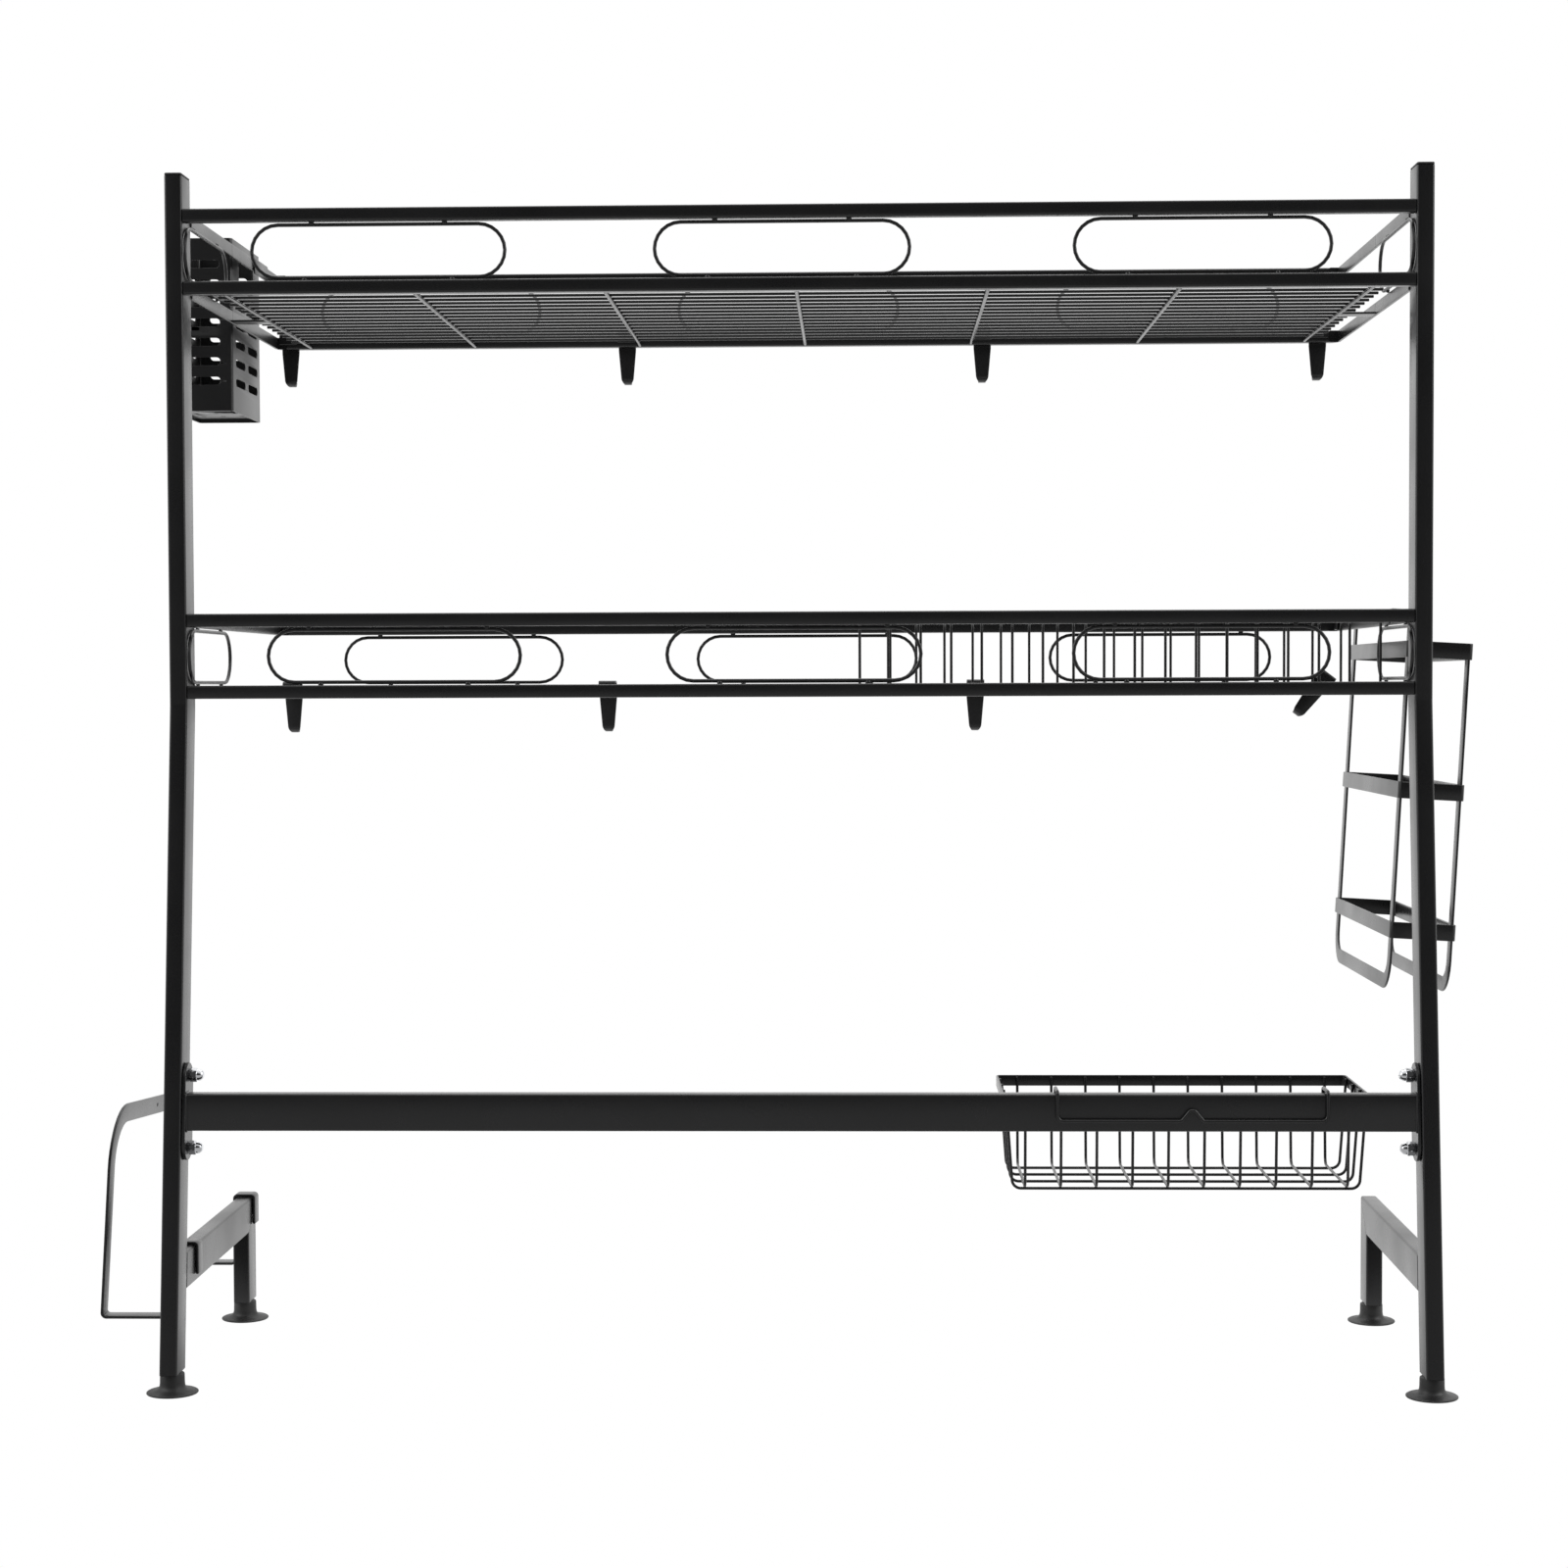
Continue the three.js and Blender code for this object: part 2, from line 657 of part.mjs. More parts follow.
function frontPanel(base, shares) {
  const end = postInner + sideBarThickness;
  const rear = shelfDepth - railSize;
  const corners = [[end, rear], [end, shelfDepth], [-end, shelfDepth], [-end, rear]];
  const arc = roundedPairs(corners, cornerRadius, cornerSteps);
  const rails = [base, base + panelHeight - railSize].map((z) => {
    const bar = prismZ(arc, z, z + railSize);
    const bore = block(-end + railSize, end - railSize, rear + railWall, shelfDepth - railWall,
      z + railWall, z + railSize - railWall);
    const drain = block(end - 2 * railSize - railWall, end - 2 * railSize, rear + 2 * railWall,
      shelfDepth - 2 * railWall, z - overrun, z + 2 * railWall);
    return bar.subtract(bore).subtract(drain);
  });
  return joined([...rails, ...panelLoops(shelfDepth - railSize / 2, base, shares)]);
}

// A flat bar on edge along a shelf's side, level with the inner faces of the posts.
function sideBar(sign, y0, y1, z0) {
  const [x0, x1] = order(sign * postInner, sign * (postInner + sideBarThickness));
  return block(x0, x1, y0, y1, z0, z0 + railSize);
}

// Rear half of a shelf's side: two short bars from the post, and an oval side loop.
function sideBracket(sign, base) {
  const middle = base + panelHeight / 2;
  const rails = [base, base + panelHeight - railSize].map(
    (z) => sideBar(sign, tubeDepth + seatGap, seamPlace - seatGap, z));
  const x = sign * (postInner - seatGap - loopWire / 2);
  const line = ovalPairs(sideLoopWidth - loopWire, sideLoopHeight - loopWire);
  const loop = hoop(line.map(([a, b]) => new THREE.Vector3(x, sideLoopWidth / 2 + a, middle + b)), loopWire);
  const nubs = [];
  for (const place of [-nubSpread, nubSpread]) {
    for (const side of [-1, 1]) {
      const inner = middle + side * (sideLoopHeight / 2 - loopWire / 2);
      const outer = middle + side * (sideLoopHeight / 2 + nubReach);
      const y = sideLoopWidth / 2 + place;
      nubs.push(block(x, sign * (postInner + weldSink), y - nubLength / 2, y + nubLength / 2,
        Math.min(inner, outer), Math.max(inner, outer)));
    }
  }
  return joined([...rails, loop, ...nubs]);
}

// Places along Y of a grid's wires, counted from the rear.
function gridWirePlace(index) {
  return shelfDepth / 2 + (index - (wireCount - 1) / 2) * wirePitch;
}

// Rods along Y between the rails, wires along X on them, and a tab at each side seam.
function grid(base) {
  const rodTop = base + rodSize;
  const bodies = [];
  for (let i = -rodPairs; i <= rodPairs; i += 1) {
    const x = i * rodPitch;
    bodies.push(block(x - rodSize / 2, x + rodSize / 2, railSize + seatGap,
      shelfDepth - railSize - seatGap, base, rodTop));
  }
  const end = rodPairs * rodPitch + wireOverhang;
  for (let k = 0; k < wireCount; k += 1) {
    const y = gridWirePlace(k);
    bodies.push(block(-end, end, y - wireSize / 2, y + wireSize / 2, rodTop, rodTop + wireSize));
  }
  for (const [, sign] of sides) {
    const inner = rodPairs * rodPitch;
    const outer = postInner - seatGap;
    const [x0, x1] = sign > 0 ? [inner, outer] : [-outer, -inner];
    bodies.push(block(x0, x1, seamPlace - tabLength / 2, seamPlace + tabLength / 2,
      base, base + tabThickness));
  }
  return joined(bodies);
}

// A hook: a clip over the rail whose long leg runs down, tapers and curls forward.
function hook() {
  const half = hookThickness / 2;
  const rear = -railSize / 2 - seatGap - half;
  const front = railSize / 2 + seatGap + half;
  const roof = railSize / 2 + hookHeadroom + half;
  const tip = -railSize / 2 - hookDrop;
  const line = roundedPairs([
    [rear, -railSize / 2 + hookShortfall], [rear, roof], [front, roof], [front, tip + half],
    [front + hookCurl, tip + half], [front + hookCurl, tip + hookTipRise],
  ], hookBend);
  const profile = prismX(stripOutline(line, hookThickness), -hookWidth / 2, hookWidth / 2);
  const top = roof + hookThickness;
  const low = tip - overrun;
  const start = -railSize / 2 - hookTaperDrop;
  const tipHalf = hookTipWidth / 2;
  const lowHalf = tipHalf - hookTipCut - overrun;
  const face = [
    [-hookWidth / 2, top], [-hookWidth / 2, start], [-tipHalf, tip + hookTipCut], [-lowHalf, low],
    [lowHalf, low], [tipHalf, tip + hookTipCut], [hookWidth / 2, start], [hookWidth / 2, top],
  ];
  return profile.intersect(prismY(face, rear - overrun, front + hookCurl + overrun));
}

// Open box of bent sheet with rows of slots, and a tab that hooks over the rail.
function slotOutline(along, z, long) {
  const radius = slotTall / 2;
  const straight = long / 2 - radius;
  const pairs = [];
  for (const [centre, from] of [[straight, -Math.PI / 2], [-straight, Math.PI / 2]]) {
    for (let k = 0; k <= slotSteps; k += 1) {
      const angle = from + Math.PI * k / slotSteps;
      pairs.push([along + centre + radius * Math.cos(angle), z + radius * Math.sin(angle)]);
    }
  }
  return pairs;
}

function cutleryBox() {
  const railTop = topShelfBase + panelHeight;
  const inner = -(postInner + railSize + boxRailGap);
  const outer = inner - boxWidth;
  const foot = railTop - boxDrop;
  const floor = foot + boxFloorLift;
  const front = boxPlace + boxDepth;
  const middleX = (inner + outer) / 2;
  const middleY = boxPlace + boxDepth / 2;
  let body = block(outer, inner, boxPlace, front, foot, foot + boxHeight);
  for (const [low, high] of [[floor + boxSheet, foot + boxHeight + overrun], [foot - overrun, floor]]) {
    body = body.subtract(block(outer + boxSheet, inner - boxSheet, boxPlace + boxSheet, front - boxSheet,
      low, high));
  }
  for (let row = 0; row < slotRows; row += 1) {
    const z = foot + slotStart + row * slotPitch;
    body = body.subtract(prismY(slotOutline(middleX, z, slotLong), boxPlace - overrun, front + overrun));
    const innerRow = row < innerSlotRows ? inner + overrun : middleX;
    for (const side of [-sideSlotSpread, sideSlotSpread]) {
      const line = slotOutline(middleY + side, z, sideSlotLong);
      body = body.subtract(prismX(line, outer - overrun, innerRow));
    }
  }
  for (const i of [-1, 0, 1]) {
    for (const j of [-1, 0, 1]) {
      const hole = new THREE.CylinderGeometry(drainDiameter / 2, drainDiameter / 2,
        2 * (boxSheet + overrun), hexSides);
      hole.rotateX(Math.PI / 2).translate(middleX + i * drainPitchX, middleY + j * drainPitchY, floor);
      body = body.subtract(solid(hole));
    }
  }
  const half = boxSheet / 2;
  const roof = railTop + seatGap + half;
  const tabEnd = -(postInner - seatGap - half);
  const tab = stripOutline([[inner - half, roof], [tabEnd, roof], [tabEnd, roof - boxTabDrop]], boxSheet);
  const window = boxTabWidth / 2 + boxSlit;
  body = body.subtract(block(inner - boxSheet - weldSink, inner + overrun, middleY - window,
    middleY + window, roof - half - boxTabDrop - tubeWidth, roof - half - weldSink));
  return body.add(prismY(tab, middleY - boxTabWidth / 2, middleY + boxTabWidth / 2));
}

// Lid holder, in a frame whose origin is the rail's upper middle line and that leans with it.
function ringOutline(x0, x1, y0, y1, radius) {
  const middle = (x0 + x1) / 2;
  return roundedPairs([[middle, y0], [x1, y0], [x1, y1], [x0, y1], [x0, y0], [middle, y0]], radius)
    .slice(1);
}

function strapLine(rear, front, top, bottom) {
  const half = strapWide / 2;
  return roundedPairs([
    [rear + half, top], [rear + half, bottom + half], [front - half, bottom + half], [front - half, top],
  ], strapRadius - half, cornerSteps);
}

function lidHolder() {
  const front = holderPlace + holderDepth;
  const rings = ringDrops.map((drop) => {
    const outer = ringOutline(holderReach, holderReach + holderWidth, holderPlace, front, ringRadius);
    const inner = ringOutline(holderReach + ringThickness, holderReach + holderWidth - ringThickness,
      holderPlace + ringThickness, front - ringThickness, ringRadius - ringThickness);
    const z = -drop - ringTall / 2;
    return prismZ(outer, z, z + ringTall).subtract(prismZ(inner, z - overrun, z + ringTall + overrun));
  });
  const innerX = holderReach + ringThickness - weldSink;
  const outerX = holderReach + holderWidth - ringThickness + weldSink;
  const rear = holderPlace + ringThickness + seatGap;
  const farEnd = front - ringThickness - seatGap;
  const roof = holderRoofGap + strapThickness / 2;
  const straps = [[innerX, innerX + strapThickness, roof], [outerX - strapThickness, outerX,
    ringTall / 2 - ringDrops[0] - overrun]].map(([x0, x1, top]) => prismX(
    stripOutline(strapLine(rear, farEnd, top, -strapDrop), strapWide), x0, x1));
  const upright = innerX + strapThickness / 2;
  const tongue = -(railSize / 2 + holderTongueGap + strapThickness / 2);
  const hookLine = stripOutline([
    [upright, -strapTongue], [upright, roof], [tongue, roof], [tongue, -strapTongue],
  ], strapThickness);
  const hooks = [rear, farEnd - strapWide].map((y) => prismY(hookLine, y, y + strapWide));
  return joined([...rings, ...straps, ...hooks]);
}

// Board guard: two strips that hook over the arm, and the upright hoop that joins them.
function boardGuard() {
  const outer = postInner + tubeWidth;
  const half = guardThickness / 2;
  const armTop = armBase + tubeDepth;
  const front = legDepthPlace - seatGap;
  const wall = outer + guardReach;
  const roof = armTop + seatGap + half;
  const inside = -(postInner - seatGap - half);
  const outside = -(outer + seatGap + half);
  const drop = [
    [inside, armTop - guardTongue], [inside, roof], [outside, roof], [outside, guardFloor],
    [-wall, guardFloor],
  ];
  const runs = [guardRear, front - guardWide].map(
    (y) => prismY(stripOutline(drop, guardThickness), y, y + guardWide));
  const middle = guardWide / 2;
  const [rearRise, frontRise] = [guardTopRear, guardTopFront].map(
    (top) => top - guardFloor + half - middle);
  const line = roundedPairs([
    [guardRear + middle, 0], [guardRear + middle, rearRise], [front - middle, frontRise],
    [front - middle, 0],
  ], guardRadius - middle, loopSteps);
  const along = (guardHoleInset - middle) / (front - guardRear - guardWide);
  const hole = roundPin(guardHole, -guardThickness, guardThickness, guardRear + guardHoleInset,
    rearRise + (frontRise - rearRise) * along);
  const frame = prismX(stripOutline(line, guardWide), -half, half).subtract(hole);
  const leaning = frame.rotate([0, THREE.MathUtils.radToDeg(guardLean), 0]);
  return joined([...runs, leaning.translate([-wall, 0, guardFloor - half])]);
}

// Basket: a rim band, cross wires bent to a U, and long wires turned up at the ends.
function basket() {
  const rimFoot = basketTop - rimTall;
  const outline = ringOutline(basketLeft, basketRight, basketRear, basketFront, rimRadius);
  const hole = ringOutline(basketLeft + rimThickness, basketRight - rimThickness,
    basketRear + rimThickness, basketFront - rimThickness, rimRadius - rimThickness);
  const rim = prismZ(outline, rimFoot, basketTop)
    .subtract(prismZ(hole, rimFoot - overrun, basketTop + overrun));
  const half = basketWire / 2;
  const rear = basketRear + rimThickness + half - weldSink;
  const front = basketFront - rimThickness - half + weldSink;
  const wireTop = basketTop - half;
  const crossFloor = basketFloor + basketWire - weldSink;
  const bodies = [rim];
  for (let i = 0; i < crossWireCount; i += 1) {
    const x = basketLeft + crossWireInset + i * crossWirePitch;
    bodies.push(wire(rounded([
      new THREE.Vector3(x, rear, wireTop), new THREE.Vector3(x, rear + basketTaper, crossFloor),
      new THREE.Vector3(x, front - basketTaper, crossFloor), new THREE.Vector3(x, front, wireTop),
    ], basketBend, wideBendSteps), basketWire));
  }
  const left = basketLeft + rimThickness + half - weldSink;
  const right = basketRight - rimThickness - half + weldSink;
  const first = rear + basketTaper + basketBend;
  const step = (front - rear - 2 * basketTaper - 2 * basketBend) / (longWireCount - 1);
  for (let k = 0; k < longWireCount; k += 1) {
    const y = first + k * step;
    bodies.push(wire(rounded([
      new THREE.Vector3(left, y, wireTop), new THREE.Vector3(left + endTaper, y, basketFloor),
      new THREE.Vector3(right - endTaper, y, basketFloor), new THREE.Vector3(right, y, wireTop),
    ], basketBend, wideBendSteps), basketWire));
  }
  return joined(bodies);
}

// Hanger wire: from the basket's rim over the crossbar and along its rear face.
function basketHanger() {
  const radius = hangerWire / 2;
  const legY = basketRear + rimThickness + hangerFrontGap + radius;
  const hangerLeft = basketLeft + hangerInset;
  const hangerRight = hangerLeft + hangerWidth;
  const rearY = postRear(hangerFloor) + crossbarInset - hangerRearGap - radius;
  const top = barCorner.z + up.y * crossbarDeep / 2 + seatGap + radius;
  const middle = (hangerLeft + hangerRight) / 2;
  const notch = hangerFloor + notchRise;
  const leg = basketTop - rimTall;
  return wire(rounded([
    new THREE.Vector3(hangerLeft, legY, leg), new THREE.Vector3(hangerLeft, legY, top),
    new THREE.Vector3(hangerLeft, rearY, top), new THREE.Vector3(hangerLeft, rearY, hangerFloor),
    new THREE.Vector3(middle - notchBase / 2, rearY, hangerFloor),
    new THREE.Vector3(middle - notchTop / 2, rearY, notch),
    new THREE.Vector3(middle + notchTop / 2, rearY, notch),
    new THREE.Vector3(middle + notchBase / 2, rearY, hangerFloor),
    new THREE.Vector3(hangerRight, rearY, hangerFloor), new THREE.Vector3(hangerRight, rearY, top),
    new THREE.Vector3(hangerRight, legY, top), new THREE.Vector3(hangerRight, legY, leg),
  ], hangerBend), hangerWire, hangerSides);
}

// Plate divider: hoops across the shelf, welded to two rods that lie on wires of the grid.
function plateDivider() {
  const floor = middleShelfBase + rodSize + wireSize + seatGap;
  const half = dividerWire / 2;
  const top = floor + dividerHeight - half;
  const rear = gridWirePlace(rearWireCount) - dividerWire + weldSink;
  const front = gridWirePlace(frontWireCount) + dividerWire - weldSink;
  const bodies = [];
  for (let i = 0; i < dividerCount; i += 1) {
    const x = dividerStart + i * dividerPitch;
    bodies.push(wire(rounded([
      new THREE.Vector3(x, rear, floor), new THREE.Vector3(x, rear, top),
      new THREE.Vector3(x, front, top), new THREE.Vector3(x, front, floor),
    ], dividerBend, wideBendSteps), dividerWire));
  }
  const last = dividerStart + (dividerCount - 1) * dividerPitch;
  for (const y of [gridWirePlace(rearWireCount), gridWirePlace(frontWireCount)]) {
    bodies.push(block(dividerStart - dividerWire, last + half, y - half, y + half, floor,
      floor + dividerWire));
  }
  return joined(bodies);
}

for (const [side, sign] of sides) {
  const middle = sign * (postInner + tubeWidth / 2);
  add(`post_${side}`, post(sign), 'coat');
  add(`post_cap_${side}`, cap(sign), 'plastic');
  add(`side_leg_${side}`, sideLeg(sign), 'coat');
  const rearFoot = add(`foot_rear_${side}`, foot(lean), 'foot');
  const rearMiddle = (postRear(tubeEndHeight) + postFront(tubeEndHeight)) / 2;
  rearFoot.position.set(middle, rearMiddle, 0);
  add(`foot_front_${side}`, foot(0), 'foot').position.set(middle, legDepthPlace - tubeDepth / 2, 0);
  for (const [level, place] of boltPlaces) {
    const reach = 2 * seatGap + flangeThickness + nutBoreDepth - overrun;
    const bolt = fixing(sign, place.y, place.z, boltDiameter, boltHeadDiameter, boltHeadThickness, reach);
    add(`crossbar_bolt_${side}_${level}`, bolt, 'zinc');
    add(`acorn_nut_${side}_${level}`, acornNut(sign, place.y, place.z), 'chrome');
  }
  for (const [name, level, z] of screwPlaces) {
    const screw = fixing(sign, railSize / 2, z, screwDiameter, screwHeadDiameter, screwHeadThickness,
      screwReach);
    add(`${name}_${side}_${level}`, screw, 'zinc');
  }
}

const bar = add('crossbar', crossbar(), 'coat');
const barPlace = alongPost(0);
bar.position.set(0, barPlace.y, barPlace.z);
bar.rotation.x = -lean;

for (const [shelf, base, rearShares, frontShares] of shelves) {
  add(`${shelf}_rear_panel`, rearPanel(base, rearShares), 'coat');
  add(`${shelf}_front_panel`, frontPanel(base, frontShares), 'coat');
  add(`${shelf}_grid`, grid(base), 'coatedWire');
  for (const [side, sign] of sides) {
    add(`${shelf}_bracket_${side}`, sideBracket(sign, base), 'coat');
    const levels = [['lower', base], ['upper', base + panelHeight - railSize]];
    for (const [level, z] of levels) {
      const rail = sideBar(sign, seamPlace, shelfDepth - railSize - seatGap, z);
      add(`${shelf}_return_${side}_${level}`, rail, 'coat');
    }
  }
}

const hookRows = [['top', topShelfBase, topHookShares], ['middle', middleShelfBase, middleHookShares]];
for (const [row, base, shares] of hookRows) {
  shares.forEach((share, i) => {
    const swung = row === 'middle' && i === shares.length - 1;
    const piece = add(`hook_${row}_${i + 1}`, hook(), 'sheet');
    const lift = swung ? hookTiltRise : 0;
    piece.position.set(rackWidth * share, shelfDepth - railSize / 2, base + railSize / 2 + lift);
    piece.rotation.y = swung ? hookTilt : 0;
  });
}

add('utensil_box', cutleryBox(), 'sheet');
add('board_guard', boardGuard(), 'coat');
const holder = add('lid_holder', lidHolder(), 'coat');
holder.position.set(railMiddle, 0, middleShelfBase + panelHeight);
holder.rotation.y = holderLean;
add('sponge_basket', basket(), 'coatedWire');
add('basket_hanger', basketHanger(), 'coatedWire');
add('plate_divider', plateDivider(), 'coatedWire');

// The origin is the middle of the footprint, on the floor.
rack.updateMatrixWorld(true);
const bounds = new THREE.Box3().setFromObject(rack, true);
rack.position.set(-(bounds.min.x + bounds.max.x) / 2, -(bounds.min.y + bounds.max.y) / 2, -bounds.min.z);

export default rack;
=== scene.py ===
import math
import bmesh
import bpy
from mathutils import Matrix, Vector


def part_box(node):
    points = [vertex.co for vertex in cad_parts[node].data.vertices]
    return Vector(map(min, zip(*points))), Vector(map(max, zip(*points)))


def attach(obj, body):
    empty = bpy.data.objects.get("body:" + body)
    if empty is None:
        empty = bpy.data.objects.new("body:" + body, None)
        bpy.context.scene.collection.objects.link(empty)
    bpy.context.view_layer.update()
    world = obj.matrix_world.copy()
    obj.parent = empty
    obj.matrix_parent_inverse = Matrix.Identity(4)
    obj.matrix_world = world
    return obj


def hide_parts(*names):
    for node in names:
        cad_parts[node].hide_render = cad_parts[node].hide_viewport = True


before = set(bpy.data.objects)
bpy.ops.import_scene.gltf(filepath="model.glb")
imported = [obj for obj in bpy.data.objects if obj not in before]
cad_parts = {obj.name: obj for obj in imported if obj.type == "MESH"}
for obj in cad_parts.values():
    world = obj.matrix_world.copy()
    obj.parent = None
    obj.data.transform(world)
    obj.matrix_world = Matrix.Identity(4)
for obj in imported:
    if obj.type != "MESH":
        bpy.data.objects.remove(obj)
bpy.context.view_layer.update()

# THE TWO POSTS
# Each is one length of 12 by 25 mm steel tube with a 1.2 mm wall, bent once below the middle
# shelf so that its foot stands further back. Powder coated black after bending and drilling.

# Sizes are in millimetres from the rack's middle, the upper posts' rear face and the floor.
bar_low, bar_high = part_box("crossbar")
panel_low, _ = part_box("top_shelf_rear_panel")
RACK_ZERO = Vector(((bar_low.x + bar_high.x) / 2, panel_low.y, 0))
TO_SCENE = Matrix.Translation(RACK_ZERO) @ Matrix.Scale(0.001, 4)
SHARP_EDGE = math.radians(38)

POST_INNER = 413
TUBE_WIDE, TUBE_DEEP, TUBE_WALL, TUBE_EDGE = 12, 25, 1.2, 1.7
POST_MIDDLE = POST_INNER + TUBE_WIDE / 2
TUBE_TOP, TUBE_FOOT = 816.2, 14
KINK_HEIGHT, KINK_RADIUS, FOOT_SETBACK = 460, 26, 50.7
LEAN = math.atan(FOOT_SETBACK / KINK_HEIGHT)
UP_POST = Vector((0, math.sin(LEAN), math.cos(LEAN)))
INTO_RACK = Vector((0, math.cos(LEAN), -math.sin(LEAN)))
SIDES = (("left", -1), ("right", 1))
X, Y, Z = Vector((1, 0, 0)), Vector((0, 1, 0)), Vector((0, 0, 1))


def rounded_bar(wide, deep, radius, steps=4):
    """Section of a bar or tube with rounded edges, as pairs that go round its middle."""
    pairs = []
    for turn, (a, b) in enumerate(((1, 1), (-1, 1), (-1, -1), (1, -1))):
        for k in range(steps + 1):
            angle = math.pi / 2 * (turn + k / steps)
            pairs.append((a * (wide / 2 - radius) + radius * math.cos(angle),
                          b * (deep / 2 - radius) + radius * math.sin(angle)))
    return pairs


def bent(points, radius, steps=6):
    """A path whose corners are replaced by arcs. A point may carry a radius of its own."""
    path = [Vector(points[0])]
    for i in range(1, len(points) - 1):
        corner = Vector(points[i])
        back = (Vector(points[i - 1]) - corner).normalized()
        onward = (Vector(points[i + 1]) - corner).normalized()
        half = back.angle(onward) / 2
        own = radius[i - 1] if isinstance(radius, (list, tuple)) else radius
        centre = corner + (back + onward).normalized() * own / math.sin(half)
        start = corner + back * own / math.tan(half) - centre
        axis = back.cross(onward).normalized()
        for k in range(steps + 1):
            swing = Matrix.Rotation(-(math.pi - 2 * half) * k / steps, 3, axis)
            path.append(centre + swing @ start)
    path.append(Vector(points[-1]))
    return path


def drawn(bm, path, section, across, closed=False, ease=0.0, planes=(None, None), caps=True):
    """Draws a section along a path, mitred where it bends, with eased edges at both ends."""
    points = [Vector(p) for p in path]
    count = len(points)
    spans = count if closed else count - 1
    runs = [(points[(i + 1) % count] - points[i]).normalized() for i in range(spans)]
    side = Vector(across)
    side = (side - runs[0] * side.dot(runs[0])).normalized()
    sides = [side]
    for i in range(1, spans):
        side = runs[i - 1].rotation_difference(runs[i]) @ side
        sides.append(side)
    if ease and not closed:
        points = [points[0], points[0] + runs[0] * ease, *points[1:-1],
                  points[-1] - runs[-1] * ease, points[-1]]
        runs = [runs[0], *runs, runs[-1]]
        sides = [sides[0], *sides, sides[-1]]
        count, spans = len(points), len(runs)
    rings = []
    for i, point in enumerate(points):
        run, side = (runs[i], sides[i]) if i < spans else (runs[-1], sides[-1])
        before = runs[i - 1] if i or closed else run
        plane = (before + run).normalized()
        if not closed and planes[0] is not None and i < (2 if ease else 1):
            plane = Vector(planes[0])
        if not closed and planes[1] is not None and i > count - (3 if ease else 2):
            plane = Vector(planes[1])
        pairs = section(point) if callable(section) else section
        if ease and not closed and i in (0, count - 1):
            wide, deep = (max(abs(pair[axis]) for pair in pairs) for axis in (0, 1))
            pairs = [(a * (1 - ease / wide), b * (1 - ease / deep)) for a, b in pairs]
        other = run.cross(side)
        ring = []
        for a, b in pairs:
            spoke = side * a + other * b
            ring.append(bm.verts.new(point + spoke - run * (spoke.dot(plane) / run.dot(plane))))
        rings.append(ring)
    size = len(rings[0])
    for i in range(count if closed else count - 1):
        near, far = rings[i], rings[(i + 1) % count]
        for k in range(size):
            after = (k + 1) % size
            bm.faces.new((near[k], near[after], far[after], far[k]))
    if caps and not closed:
        bm.faces.new(rings[0][::-1])
        bm.faces.new(rings[-1])
    return rings


def pipe(bm, path, planes=(None, None)):
    """The frame's hollow tube: outer and inner skins, joined by a rim at each open end."""
    skin = rounded_bar(TUBE_WIDE, TUBE_DEEP, TUBE_EDGE)
    bore = rounded_bar(TUBE_WIDE - 2 * TUBE_WALL, TUBE_DEEP - 2 * TUBE_WALL, TUBE_EDGE - TUBE_WALL)
    outer = drawn(bm, path, skin, X, ease=0.25, planes=planes, caps=False)
    inner = drawn(bm, path, bore, X, planes=planes, caps=False)
    size = len(skin)
    for out, into, flip in ((outer[0], inner[0], True), (outer[-1], inner[-1], False)):
        for k in range(size):
            quad = (out[k], out[(k + 1) % size], into[(k + 1) % size], into[k])
            bm.faces.new(quad[::-1] if flip else quad)


def lathe(bm, profile, place, axis, steps=40, flats=None):
    """Turned piece: pairs of radius and height round an axis. flats gives a row's hexagon."""
    up = Vector(axis).normalized()
    side = up.orthogonal().normalized()
    other = up.cross(side)
    rings = []
    for row, (radius, height) in enumerate(profile):
        centre = Vector(place) + up * height
        if radius == 0:
            rings.append([bm.verts.new(centre)])
            continue
        ring = []
        for k in range(steps):
            angle = 2 * math.pi * k / steps
            reach = radius
            if flats and flats[row]:
                off = (angle + math.pi / 6) % (math.pi / 3) - math.pi / 6
                reach = min(radius, flats[row] / 2 / math.cos(off))
            ring.append(bm.verts.new(centre + side * reach * math.cos(angle)
                                     + other * reach * math.sin(angle)))
        rings.append(ring)
    for near, far in zip(rings, rings[1:]):
        for k in range(steps):
            after = (k + 1) % steps
            corners = [near[k % len(near)], near[after % len(near)],
                       far[after % len(far)], far[k % len(far)]]
            quad = [v for i, v in enumerate(corners) if v not in corners[:i]]
            if len(quad) > 2:
                bm.faces.new(quad)


def as_mesh(bm, name):
    """Hands a built shape over as a mesh."""
    mesh = bpy.data.meshes.new(name)
    bm.to_mesh(mesh)
    bm.free()
    return mesh


def in_scene(name, data):
    """Puts a mesh, a curve, a lamp or a camera into the scene."""
    thing = bpy.data.objects.new(name, data)
    bpy.context.scene.collection.objects.link(thing)
    return thing


def evaluated(thing):
    """The mesh that a thing's modifiers or its curve give."""
    bpy.context.view_layer.update()
    graph = bpy.context.evaluated_depsgraph_get()
    return bpy.data.meshes.new_from_object(thing.evaluated_get(graph))


